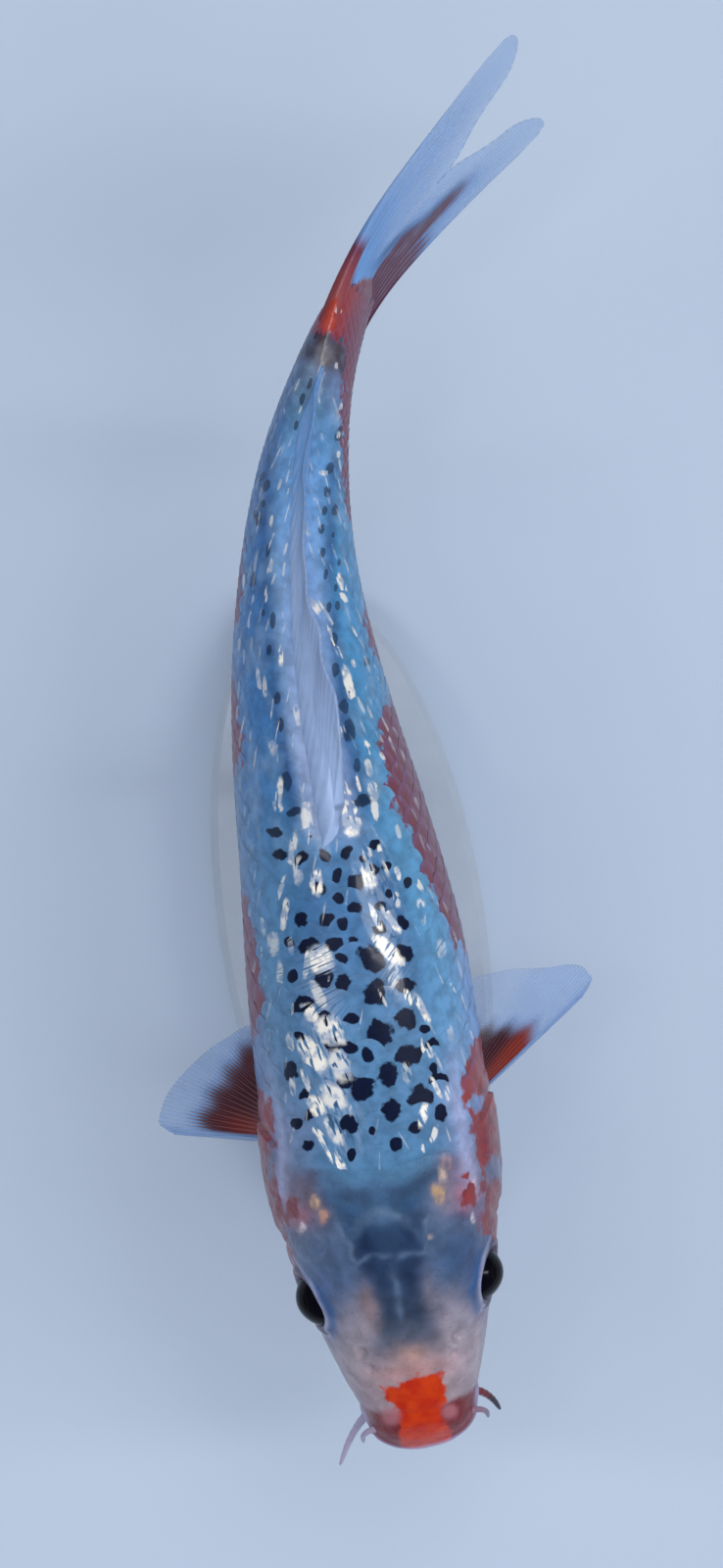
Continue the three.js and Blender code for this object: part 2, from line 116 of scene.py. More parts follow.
heading = curve([
    [0, -11.7], [22, -9.2], [44, -7.7], [66, -7.2], [84, -9.8], [98, -11.2], [112, -8.6], [126, -4],
    [138, 1.6], [148, 7.3], [158, 13.7], [168, 21.1], [178, 31], [190, 39], [206, 42], [225, 43],
])
AXIS_STEP = 0.5
AXIS_LENGTH = 240
STAND_CENTRE = 78  # the place along the fish that is over the middle of the stand
TAIL_TWIST = np.radians(16)
axis_turn = np.radians(heading(np.arange(0, AXIS_LENGTH, AXIS_STEP) + AXIS_STEP / 2))
axis_line = np.zeros((len(axis_turn) + 1, 2))
axis_line[1:] = np.cumsum(AXIS_STEP * stack(np.sin(axis_turn), np.cos(axis_turn)), 0)
axis_line -= axis_line[int(STAND_CENTRE / AXIS_STEP)]


def bend(p):
    """Bends straight-fish points. Each is rolled about the body's axis by the tail's twist at its distance from the
    snout, then stands square to the swimming curve at that distance. A point before the snout goes straight on."""
    x, y, z = np.moveaxis(np.asarray(p, float), -1, 0)
    roll = TAIL_TWIST * smooth(y, 136, 192)
    across = x * np.cos(roll) - z * np.sin(roll)
    up = x * np.sin(roll) + z * np.cos(roll)
    turn = np.radians(heading(y))
    ahead = np.minimum(y, 0)
    stations = np.arange(len(axis_line)) * AXIS_STEP
    line_x, line_y = (np.interp(np.maximum(y, 0), stations, axis_line[:, i]) for i in (0, 1))
    world = [
        line_x + across * np.cos(turn) + ahead * np.sin(turn),
        line_y - across * np.sin(turn) + ahead * np.cos(turn),
        AXIS_HEIGHT + up,
    ]
    return np.stack(world, -1) / 1000


half_width = curve([
    [0, 7.2], [5, 8.1], [13, 10.9], [22, 13.5], [34, 16.3], [45, 17.6], [56, 17.3], [72, 16.8], [93, 14.7],
    [112, 12.2], [135, 8.7], [150, 6.6], [162, 4.7], [170, 3.4], [176, 1.8], [181, 0.5],
])
top_line = curve([
    [0, 1.2], [5, 4.6], [10, 7.6], [18, 11.8], [27, 15.6], [40, 19.8], [52, 22.4], [70, 24.8], [88, 25.3],
    [105, 23.2], [125, 18.2], [145, 12.8], [160, 10.3], [174, 10.5], [181, 9.2],
])
bottom_line = curve([
    [0, -7.2], [5, -9.6], [10, -11.6], [18, -14.4], [27, -17], [40, -20], [55, -21.8], [75, -22.6], [92, -22],
    [110, -19], [130, -14.3], [145, -11.2], [160, -9.6], [174, -9.9], [181, -8.8],
])
wide_line = curve([[0, -3.4], [8, -5.6], [20, -4], [45, -2], [75, -1], [120, 0], [181, 0]])
upper_fullness = curve([[0, 2.2], [30, 2.5], [45, 2.4], [70, 2.15], [110, 2], [181, 1.9]])
lower_fullness = curve([[0, 2], [30, 2.2], [70, 2.3], [120, 2], [181, 1.9]])


def section(y, angle):
    """The body's surface at a distance from the snout and an angle from the top: two half superellipses, over and
    under the widest line, all drawn in as a quarter circle over the snout's rounding."""
    closing = np.sqrt(1 - (1 - np.clip(y / SNOUT_ROUNDING, 0, 1)) ** 2)
    across, up = np.sin(angle), np.cos(angle)
    middle = wide_line(y)
    height = np.where(up > 0, top_line(y) - middle, middle - bottom_line(y)) * closing
    power = 2 / np.where(up > 0, upper_fullness(y), lower_fullness(y))
    x = half_width(y) * closing * np.sign(across) * np.abs(across) ** power
    return stack(x, y, middle + height * np.sign(up) * np.abs(up) ** power)


# Equal shares of the girth, 0 at the top to 1 at the belly, turned into section angles for every half millimetre.
GIRTH_STEP = 0.5
SHARE_STEPS = 240
girth_y = np.arange(GIRTH_STEP, SKIN_END + 1, GIRTH_STEP)
girth_angle = np.linspace(0, np.pi, 361)
girth_shape = section(*np.meshgrid(girth_y, girth_angle, indexing="ij"))[..., ::2]
girth_arc = np.cumsum(np.linalg.norm(np.diff(girth_shape, axis=1), axis=-1), 1)
girth_arc = np.concatenate([np.zeros((len(girth_y), 1)), girth_arc], 1)
girth_share = np.linspace(0, 1, SHARE_STEPS + 1)
share_angle = np.stack([np.interp(girth_share, arc / arc[-1], girth_angle) for arc in girth_arc])


def surface(y, share):
    """The body's surface at a distance from the snout and a share of the girth: 0 at the top, 1 at the belly round
    the fish's left side, -1 there round its right side, and a share past 1 comes up the other side. The angle is
    looked up between the nearest four entries."""
    share = (share + 1) % 2 - 1
    row = np.clip((y - girth_y[0]) / GIRTH_STEP, 0, len(girth_y) - 1.001)
    column = np.abs(share) * SHARE_STEPS * 0.99999  # just short of the last entry
    i, j = row.astype(int), column.astype(int)
    s, t = row - i, column - j
    angle = (share_angle[i, j] * (1 - s) + share_angle[i + 1, j] * s) * (1 - t)
    angle = angle + (share_angle[i, j + 1] * (1 - s) + share_angle[i + 1, j + 1] * s) * t
    return section(y, np.sign(share) * angle)


def outward(y, share):
    """The body's outward direction: the cross product of its slope round the girth and its slope along the fish."""
    along = surface(y + 0.1, share) - surface(np.maximum(y - 0.1, 0.002), share)
    around = surface(y, share + 0.004) - surface(y, share - 0.004)
    return unit(np.cross(around, along))


# The gill slit and the scales' front edge, as distances from the snout at each height.
gill_slit = curve([
    [-26, 32], [-20, 35], [-17.5, 41], [-13, 47], [-7, 50.6], [0, 51.6], [8, 50], [15, 46.5], [21, 42], [30, 40],
])
cover_front = curve([[-17, 33], [-10, 35], [-2, 35], [6, 37.5], [11, 41]])
scale_front = curve([
    [-24, 33], [-20, 37], [-17.5, 44], [-13, 50.5], [-7, 54], [0, 55], [8, 53.6], [12, 49], [16, 44], [22, 41.2],
])


EYE_RADIUS = 4.8
EYE_CENTRE = np.array([10.7, 25.2, 3.6])  # of the left eye, which the right one mirrors
EYE_AXIS = unit([0.95, -0.1, 0.3])  # out, a little forward and a little up


def from_eye(p):
    """How far a point is from the axis of the eye on its side."""
    offset = stack(np.abs(p[..., 0]), p[..., 1], p[..., 2]) - EYE_CENTRE
    return np.linalg.norm(offset - (offset @ EYE_AXIS)[..., None] * EYE_AXIS, axis=-1)


def relief(p):
    """How far the bare skin stands out of the plain body form at each point, in millimetres: a sum of grooves, lips,
    pits, plates and soft lumps, each a bell or a step of the distance from its own line."""
    x, y, z = np.moveaxis(p, -1, 0)
    side = np.abs(x)
    # the mouth: a slit round the snout between two full lips, and the fold over the upper lip
    slit = z - curve([[0, -3.5], [2, -3.7], [7.2, -5.6], [9.6, -8.4]])(y)
    mouth = smooth(y, 8.4, 6.6)
    height = mouth * (0.45 * bell(slit - 1.2, 0.9) + 0.4 * bell(slit + 1.3, 1) - 1.5 * bell(slit, 0.34))
    fold = y - curve([[-6, 7.9], [-2, 7.2], [1, 6.6], [4, 6.1], [7, 5.8]])(z)
    height -= 0.1 * bell(fold, 0.6) * smooth(z, -5, -2.5)
    height += 0.08 * bell(fold - 1, 0.9) * smooth(z, -5, -2)
    jaw_fold = y - curve([[-12, 9.5], [-8, 8.6], [-5, 7.8]])(z)
    height -= 0.25 * bell(jaw_fold, 0.5) * smooth(-z, 5, 7)
    # the nostrils: two pits on each side with a flap of skin standing between them
    for pit_x, pit_y, wide, deep in ((6.3, 13.9, 0.5, 0.7), (7.1, 16.5, 0.75, 1.1), (6.7, 15.2, 0.55, -0.55)):
        away = np.hypot(side - pit_x, (y - pit_y) * (1.4 if deep < 0 else 1))
        height -= deep * bell(away, wide) * smooth(z, 2, 4)
    # the eyes' sockets: the skin dips under the eyeball and swells into a soft ring round it
    away = from_eye(p)
    outer = smooth(side, 8.5, 10)
    height += outer * (0.5 * bell(away - 4.75, 0.75) - 1.9 * smooth(away, 4.15, 3.5))
    height -= 0.16 * outer * bell(away - 6.4, 0.6) * smooth(-z, -4, 2)
    # the cheek's bones and the gill cover, whose free rim stands over the slit behind it
    cheek = y - curve([[-16, 25], [-13, 30], [-6, 33.2], [2, 33.4], [8, 35]])(z)
    height -= 0.28 * bell(cheek, 0.55) * smooth(z, -17, -13) * smooth(z, 10, 6) * smooth(side, 8, 11)
    behind = y - gill_slit(z)
    span = smooth(z, -18.5, -16) * smooth(z, 13, 10.5)
    cover = smooth(y - cover_front(z), -0.6, 1.2) * span
    height += 0.4 * cover * smooth(behind, 0.12, -0.12)
    height -= span * (0.5 * bell(behind - 0.35, 0.45) * (behind > -0.1) - 0.12 * bell(behind + 2.6, 0.5))
    ribs = np.sin(2.6 * np.hypot(y - 37, z - 7) + 0.4 * z)
    height += 0.035 * ribs * cover * (behind < -2)
    # the skull under the skin: brow ridges, the notch behind the brain case, and the nape's soft edge
    brow = bell(side - curve([[10, 4], [18, 6.6], [28, 8.2], [38, 8.8]])(y), 1.8)
    height += 0.35 * brow * smooth(y, 12, 18) * smooth(y, 40, 33) * smooth(z, 4, 7)
    height -= 0.25 * bell(side, 1.4) * smooth(y, 16, 21) * smooth(y, 36, 30) * smooth(z, 4, 7)
    height += 0.12 * mottle(p, 3.1, 3) + 0.05 * mottle(p, 1.1, 4)
    # the skin sinks away under the front scales, which grow out of it
    behind = y - scale_front(z)
    return height * smooth(behind, 1.5, -0.5) - SCALE_DEPTH * smooth(behind, -0.8, 1.6 + 4.6 * smooth(z, 4, 12))


def tone(red, green, blue):
    """A colour as a screen shows it, from 0 to 255, turned into the light that it stands for."""
    shown = np.array([red, green, blue]) / 255
    return np.where(shown <= 0.04045, shown / 12.92, ((shown + 0.055) / 1.055) ** 2.4)


def wash(ground, colour, share):
    """The ground colour with that share of another colour laid over it, given as light or as a tuple for tone."""
    colour = tone(*colour) if isinstance(colour, tuple) else colour
    return ground + (colour - ground) * np.clip(share, 0, 1)[..., None]


def between(y, x, right, left):
    """How far inside a lane a point lies, in millimetres: the lesser distance to its two edges on the fish's right
    and left, each a curve of the distance from the snout."""
    return np.minimum(x - curve(right)(y), curve(left)(y) - x)


def inside(*edges, radius=4):
    """How far inside several edges at once a point lies, with the corners between them rounded: the radius less the
    root of the summed squares of what each edge's own depth falls short of it."""
    return radius - np.sqrt(sum(np.maximum(radius - edge, 0) ** 2 for edge in edges))


def shades(y, *stops):
    """The colour at each distance from the snout, mixed between stops of a distance and a colour for tone."""
    at, *colour = np.transpose(stops)
    return np.stack([np.interp(y, at, light) for light in tone(*colour)], -1)


def blots(ground, x, y, *marks):
    """Soft oval patches over a ground colour. Each has a place across and along the fish, a half width and a half
    length, a colour and a share, which falls off as a bell of the distance from its middle."""
    for across, along, wide, long, colour, share in marks:
        ground = wash(ground, colour, share * bell(np.hypot((x - across) / wide, (y - along) / long), 1))
    return ground


def head_colour(p, rough):
    """The bare head: a pale pinkish snout, slate where the skull shows through the skin, pale lines over the skull's
    seams, golden flecks at the nape, blue lids and mauve cheeks, and white underneath."""
    x, y, z = np.moveaxis(p, -1, 0)
    x, y = x + 0.5 * mottle(p, 1.7, 15), y + 0.5 * mottle(p, 1.7, 16)
    head = shades(y, (20, 78, 98, 134), (34, 86, 106, 140), (44, 102, 106, 136))
    head = wash(head, (164, 149, 160), smooth(y + 1.6 * rough, 28, 15))
    head = blots(
        head, x, y, (-7.4, 15, 2, 4, (172, 154, 164), 0.6), (7, 14, 2.4, 5, (178, 162, 174), 0.6),
        (0, 9, 9, 3, (172, 144, 150), 0.5), (-7, 20.5, 3.4, 4.5, (148, 142, 156), 0.7),
        (7, 19.5, 2.6, 5, (156, 150, 166), 0.7), (-9.4, 29.5, 3, 4, (72, 96, 134), 0.75),
        (8.6, 29.5, 2.7, 4.2, (56, 84, 120), 0.8), (-11, 41, 3.2, 3.6, (116, 104, 124), 0.8),
        (9.4, 42.5, 2, 3.4, (100, 92, 116), 0.8), (11.4, 26, 2.2, 6, (34, 62, 112), 0.8),
        (-11.8, 24, 1.8, 5, (58, 86, 144), 0.75), (8, 27, 2.6, 3, (58, 84, 124), 0.5),
        (8.6, 38, 2, 2.6, (134, 126, 146), 0.7), (4.4, 22, 1.4, 3, (76, 84, 108), 0.6),
        (0, 43, 5, 2.2, (92, 130, 170), 0.6),
    )
    slate_right = [
        [12, -4.5], [15, -6], [18, -5.8], [21, -4.6], [25, -4.2],
        [29.5, -5], [33, -6.2], [37, -7.8], [41, -9.4], [46, -12],
    ]
    slate_left = [
        [12, 4], [15, 4.8], [18, 4.8], [21, 4], [25, 3.6], [28, 4.3],
        [31, 5], [35, 5.2], [38, 6], [42, 8.5], [47, 12],
    ]
    slate = between(y, x, slate_right, slate_left)
    slate_colour = shades(
        y, (14, 116, 108, 124), (18, 84, 92, 114), (21, 54, 70, 96), (30, 40, 62, 98), (38, 56, 88, 126),
        (44, 80, 112, 150)
    )
    head = wash(head, slate_colour, smooth(y + 0.8 * rough, 13, 17) * smooth(slate + 1.1 * rough, -2.2, 2.2))
    head = head * (1 + 0.13 * mottle(p, 2.7, 24) + 0.06 * mottle(p, 1.2, 25))[..., None]
    head = blots(
        head, x, y, (-3.7, 33, 2, 3.4, (18, 38, 74), 0.85), (2.7, 33.6, 1.8, 3.1, (22, 42, 76), 0.85),
        (5.6, 41.4, 2.4, 1.5, (34, 54, 84), 0.75), (3, 40, 2.6, 1.6, (36, 58, 88), 0.6),
        (-5, 40.4, 3.4, 1.3, (46, 66, 96), 0.6), (2.1, 27, 1.4, 2.6, (22, 42, 74), 0.8),
        (-2.7, 27, 1.4, 2.6, (26, 46, 80), 0.75), (2.2, 22.3, 1.2, 2.6, (40, 54, 80), 0.7),
        (-2.2, 21.8, 1.2, 2.8, (40, 54, 80), 0.7), (11, 46, 0.8, 2.4, (44, 38, 76), 0.85),
        (9, 45, 1.6, 2, (96, 84, 104), 0.7), (-11.4, 44, 1.4, 2.2, (92, 84, 104), 0.6),
        (10.4, 34.9, 1.6, 1.1, (48, 56, 100), 0.7), (-14.4, 34.4, 1, 2, (56, 66, 104), 0.6),
        (-5, 23.6, 1.1, 2.6, (146, 118, 114), 0.6), (4.4, 24.2, 0.9, 3, (124, 118, 132), 0.5),
        (0.2, 15, 2.4, 1.6, (190, 144, 128), 0.6), (0, 12.6, 6, 1.4, (184, 130, 128), 0.6),
        (-8.6, 9.4, 1.6, 2, (140, 98, 116), 0.5), (-12.8, 37.6, 1.8, 1.8, (166, 104, 116), 0.75),
        (-14.4, 39.4, 1, 2, (160, 84, 92), 0.7), (11.6, 37.4, 1.9, 2.4, (178, 116, 136), 0.75),
        (12.4, 41, 1.4, 2.6, (176, 146, 180), 0.7), (13.4, 37.8, 1.2, 1.4, (178, 140, 168), 0.6),
        (13.6, 33.6, 1, 1.4, (150, 96, 128), 0.6),
    )
    # pale lines: the brow's two arcs, the seam between the skull's halves, its edges, and a ring over each temple
    lines = np.maximum.reduce([
        0.55 * bell(y - (30.9 - 0.12 * (x + 2.6) ** 2), 0.5) * smooth(np.abs(x + 3), 3.8, 1.8),
        0.5 * bell(y - (30.6 - 0.11 * (x - 2.8) ** 2), 0.45) * smooth(np.abs(x - 2.9), 3.6, 1.6),
        0.45 * bell(x + 0.5 + 0.1 * np.sin(1.3 * y), 0.7) * smooth(y, 18.5, 22.5) * smooth(y, 29.5, 26),
        0.5 * bell(x - curve([[29, -5.4], [33, -6.5], [38, -8.1]])(y), 0.4) * smooth(y, 29, 31) * smooth(y, 38, 36),
        0.45 * bell(x - curve([[29, 4.6], [34, 5.3], [38, 6.2]])(y), 0.4) * smooth(y, 29, 31) * smooth(y, 37, 35),
        0.4 * bell(np.hypot(x + 12.2, y - 33.2) - 2.2, 0.32),
        0.35 * bell(np.hypot(x - 9.6, y - 31.4) - 2.6, 0.32) * smooth(y, 30, 32),
        0.7 * bell(y - 37.2 + 0.12 * (x + 1.5) ** 2 + 0.5 * rough, 1.1) * bell(x + 0.5, 5),
    ])
    head = wash(head, (116, 144, 178), 0.8 * lines * (0.65 + 0.6 * mottle(p, 1.4, 20)))
    flecks = smooth(mottle(p, 0.55, 14) + 0.5 * mottle(p, 0.3, 17), -0.25, 0.35)
    for across, along, wide, long, colour in (
        (-10.4, 39.6, 1, 1, (222, 186, 150)), (-9.5, 37.7, 0.9, 1.3, (196, 150, 130)),
        (7.6, 38.6, 1.1, 1.6, (206, 168, 126)), (8.7, 41.3, 0.8, 1.3, (210, 184, 170)),
        (9.7, 43.3, 1, 1.4, (164, 136, 144)), (5.9, 32.6, 0.5, 0.5, (186, 170, 166)),
        (-13, 36.2, 0.9, 0.7, (226, 216, 226)), (12.2, 34, 0.5, 0.9, (230, 224, 234)),
        (13, 39.4, 0.8, 1.2, (226, 196, 210)),
    ):
        near = bell(np.hypot((x - across) / wide, (y - along) / long), 1)
        head = wash(head, colour, 0.35 * smooth(near, 0.1, 0.8) + 0.5 * flecks * smooth(near, 0.25, 0.75))
    away = from_eye(p)
    lid = bell(away - 5.9 + 0.5 * mottle(p, 2.4, 21), 0.8) * smooth(z, 3.5, 6.5)
    lid = lid * (0.75 + 0.4 * mottle(p, 1.9, 22))
    head = wash(head, (40, 92, 150), 0.85 * lid)
    behind_eye = y - EYE_CENTRE[1]
    corner = 4.5 * (1 - ((behind_eye - 0.9) / 6.6) ** 2) - np.sqrt(np.maximum(away ** 2 - behind_eye ** 2, 0))
    corner = np.maximum(corner, 4.4 - away)
    head = wash(head, (172, 176, 206), 0.7 * bell(corner + 0.4, 0.42) * smooth(np.abs(x), 8, 10))
    head = wash(head, (22, 16, 42), 0.95 * smooth(corner, -0.1, 0.25) * smooth(np.abs(x), 8, 10))
    cheek = smooth(np.abs(x), 10.5, 13.5) * smooth(z, 10, 3) * smooth(y, 8, 14)
    head = wash(head, (130, 112, 144), 0.6 * cheek)
    return wash(head, (196, 188, 200), smooth(z + 0.8 * rough, -7, -14))


def ground_colour(p):
    """The fish's colour before its red and black markings: steel blue on the back, bluer behind and down the flanks,
    lavender at the shoulders, white below, and milky along the dorsal fin's root."""
    x, y, z = np.moveaxis(p, -1, 0)
    up = z - wide_line(y)
    rough = mottle(p, 5.5, 11) + 0.5 * mottle(p, 2.2, 12)
    middle = shades(
        y, (42, 78, 124, 164), (50, 82, 126, 168), (62, 84, 128, 170), (74, 76, 120, 166), (82, 66, 112, 160),
        (92, 74, 122, 168), (105, 74, 124, 172), (140, 92, 140, 182), (156, 96, 138, 176), (163, 90, 106, 136),
    )
    right = shades(
        y, (48, 114, 134, 172), (60, 94, 132, 172), (75, 86, 136, 178), (90, 76, 130, 178), (104, 64, 122, 180),
        (118, 56, 116, 178), (150, 60, 116, 174), (162, 82, 114, 160),
    )
    left = shades(
        y, (48, 120, 150, 196), (62, 102, 154, 200), (80, 92, 154, 198), (96, 88, 154, 198), (112, 76, 146, 196),
        (140, 72, 144, 196), (152, 80, 144, 194), (162, 112, 128, 168),
    )
    flank = wash(right, left, smooth(x, -6, 6))
    pale = wash(np.broadcast_to(tone(92, 120, 174), x.shape + (3,)), (124, 160, 216), smooth(x, -6, 6))
    flank = wash(flank, pale, 0.75 * smooth(np.abs(x) / half_width(y), 0.8, 0.96) * smooth(y, 104, 72))
    aside = np.abs(x) / half_width(y) + 0.06 * rough + 0.12 * smooth(y, 78, 96)
    colour = wash(flank, middle, smooth(aside, 0.76, 0.4))
    cloudy = smooth(mottle(p * [1.3, 0.6, 1], 1.8, 29), -0.1, 0.6) * smooth(y, 84, 100) * smooth(z, 0, 5)
    colour = wash(colour, (146, 172, 200), 0.34 * cloudy)
    brown = smooth(y + 0.8 * rough, 161.8, 164.4) * smooth(y, 170, 168) * smooth(z, -6, 2)
    colour = wash(colour, (58, 42, 52), 0.9 * brown * (0.9 + 0.5 * mottle(p, 1.3, 26)))
    colour = wash(colour, (120, 114, 116), 0.8 * bell(np.hypot(x - 1, (y - 164.6) / 1.3), 1.3) * smooth(z, 4, 8))
    milky = smooth(3.7 - np.abs(x - 0.1) + 0.4 * rough, -1.5, 1.8) * smooth(y, 90, 96) * smooth(y, 156, 149)
    milky = milky * smooth(z, 4, 7)
    shade = bell(np.abs(x) - 4.8, 1) * smooth(y, 92, 100) * smooth(y, 156, 146) * smooth(z, 4, 7)
    colour = wash(colour, (26, 68, 130), 0.6 * shade * (0.8 + 0.4 * mottle(p, 2.2, 23)))
    milk = shades(
        y, (95, 146, 162, 200), (106, 156, 174, 214), (120, 144, 172, 218), (140, 118, 164, 218), (155, 98, 150, 206)
    )
    colour = wash(colour, milk, 0.9 * milky)
    colour = wash(colour, (190, 194, 218), smooth(up + 1.2 * rough, -5, -14))
    # the bare shoulder behind each gill cover, and the pale stripe that runs up from it beside the nape
    shoulder = smooth(y - scale_front(z), -7, -3) * smooth(y - scale_front(z), 3, 0) * smooth(z, 16, 12)
    colour = wash(colour, (124, 128, 172), 0.8 * shoulder)
    nape = 3 - 2.8 * smooth(z, 9, 15) - 2.4 * bell(np.abs(x) - 9, 2.8) * smooth(z, 14, 16)
    colour = wash(head_colour(p, rough), colour, smooth(y - scale_front(z) + nape + 0.6 * rough, -1.7, 1.2))
    stripe = np.maximum(
        0.8 * bell(x - curve([[38, -15.4], [43, -14.9], [50, -14.1], [56, -14.6]])(y), 0.9),
        bell(x - curve([[38, 13], [43, 12.6], [48, 12.4], [53, 12], [58, 12.6], [66, 14]])(y), 1.3),
    )
    return wash(colour, (168, 176, 216), 0.8 * stripe * smooth(y, 38, 42) * smooth(y, 66, 50) * smooth(z, 5, 8))


def red_marking(p):
    """How far inside the red pattern each point lies, in millimetres, below 0 outside it, and how much of that red
    is orange rather than a wine red under pale skin: the patch on the nose, both gill covers and shoulders, the
    patches along each flank, and the saddle over the tail's root."""
    x, y, z = np.moveaxis(p, -1, 0)
    nose = np.minimum(
        between(
            y, x,
            [[-1, -3.6], [1.4, -4.2], [3, -4.2], [4.6, -3.5], [6.6, -3.6], [8.4, -4.6], [10.2, -5.1], [11.4, -6]],
            [[-1, 3.4], [1.6, 3.6], [3.2, 3.2], [5.2, 2.9], [7.2, 3.8], [9.5, 3.9], [11.4, 4.6]],
        ),
        np.minimum(curve([[-7, 11.2], [-5, 10.6], [-2, 11], [1, 11.6], [3.5, 11.2], [5, 11.7]])(x) - y, z + 2.8),
    )
    broken = 1.3 * mottle(p, 1.9, 18) + 0.7 * mottle(p, 0.9, 19) - 0.1
    wavy, rippled = 2.4 * mottle(p, 6.3, 27), 1.8 * mottle(p, 4.1, 28)
    # each cheek: side, first and last distance from the snout, its upper edge across, and a spot over it
    cheeks = []
    for side, first, last, edge, (spot_x, spot_y, spot_long) in (
        (1, 28, 62, [
            [28, 14], [32, 13], [34.5, 13.8], [37, 13.4], [41, 15], [45, 14.2], [50, 13.5], [54, 13.1], [57, 13.9],
            [61, 16.6],
        ], (12.2, 37.6, 1.6)),
        (-1, 27, 59, [
            [28, 13.6], [32, 14.8], [35, 15.6], [38, 14.6], [41, 15.4], [46, 15.9], [50, 15], [54, 14.8], [58, 16.6],
        ], (14, 39, 1.3)),
    ):
        cheek = inside(side * x - curve(edge)(y), y - first + wavy, last - y + rippled, z + 9 + wavy)
        spot = 1.1 - np.hypot(side * x - spot_x, (y - spot_y) / spot_long)
        cheeks.append(np.maximum(cheek, np.minimum(spot, z)))
    left_cheek = cheeks[0] + broken * (0.9 * bell(y - 40.5, 4.5) + 0.25)
    for across, along, wide in ((16.2, 40.6, 1.3), (15.1, 50.6, 1)):  # two bare gaps
        left_cheek = np.minimum(left_cheek, np.hypot(x - across, (y - along) / 1.5) - wide)
    patches = [nose, left_cheek, cheeks[1] + 0.7 * broken]
    # each flank patch: side, first and last distance from the snout, its upper edge across, its lowest height
    flanks = (
        (1, 72, 110.5, [
            [70, 15.6], [76, 14.4], [80, 13.4], [85, 12.2], [89, 11.5], [93, 10.4], [97, 9.6], [104, 9.5], [111, 10],
        ], -7),
        (1, 116, 126.5, [[116, 11.2], [121, 9.9], [127, 9.2]], -6),
        (1, 137, 173, [[136, 8.2], [148, 6.1], [158, 4.5], [168, 3]], -8),
        (-1, 64, 87, [[64, 15.6], [72, 14.4], [80, 14.5], [87, 14.6]], -9),
        (-1, 103, 118, [[103, 12.2], [110, 10.9], [118, 10.9]], -7),
        (-1, 124, 138, [[124, 9.6], [131, 8.7], [138, 8.3]], -7),
    )
    for side, first, last, edge, low in flanks:
        depth = inside(side * x - curve(edge)(y), y - first + 1 + rippled, last - y + 1 + wavy, z - low + wavy)
        patches.append(depth)
    patches.append(np.minimum(y - 167 + 0.4 * rippled, 186 - y + 0.35 * z))
    orange = bell(x - 0.2 + 0.3 * broken, 2.5) * smooth(z, -2, 4) * smooth(y, 166, 169)
    left_warmth = 0.4 + 0.16 * smooth(y, 44, 50) + 0.14 * broken
    right_warmth = 0.36 + 0.12 * smooth(y, 46, 50)
    saddle_warmth = 0.2 + 0.52 * orange * (1 - 0.6 * smooth(y, 173, 179))
    warmth = np.broadcast_arrays(1.2, left_warmth, right_warmth, *(0.2 for _ in flanks), saddle_warmth)
    patches = np.stack(patches)
    return patches.max(0), np.take_along_axis(np.stack(warmth), patches.argmax(0)[None], 0)[0]


def lip_marking(p):
    """How far inside the dark red lips a point lies, and how pale the lips' outer rim is there."""
    x, y, z = np.moveaxis(p, -1, 0)
    depth = curve([[-9.5, 8.4], [-8.4, 7.7], [-5.5, 6.9], [0, 6.4], [5.5, 6.9], [8.2, 7.4], [9.5, 8.2]])(x) - y
    over = (z - wide_line(y)) / (top_line(y) - wide_line(y))
    rim = smooth(over + 0.018 * np.abs(x), 0.52, 0.32) * smooth(z, -6.5, -5) * smooth(y, 8.5, 6.5)
    return np.minimum(depth, z + 4.8), rim


class Value:
    """A node's output in a finish, on which +, - and * add Math nodes."""

    def __init__(self, finish, socket):
        self.finish, self.socket = finish, socket

    def __add__(self, other):
        return self.finish.math("ADD", self, other)

    def __sub__(self, other):
        return self.finish.math("SUBTRACT", self, other)

    def __mul__(self, other):
        return self.finish.math("MULTIPLY", self, other)


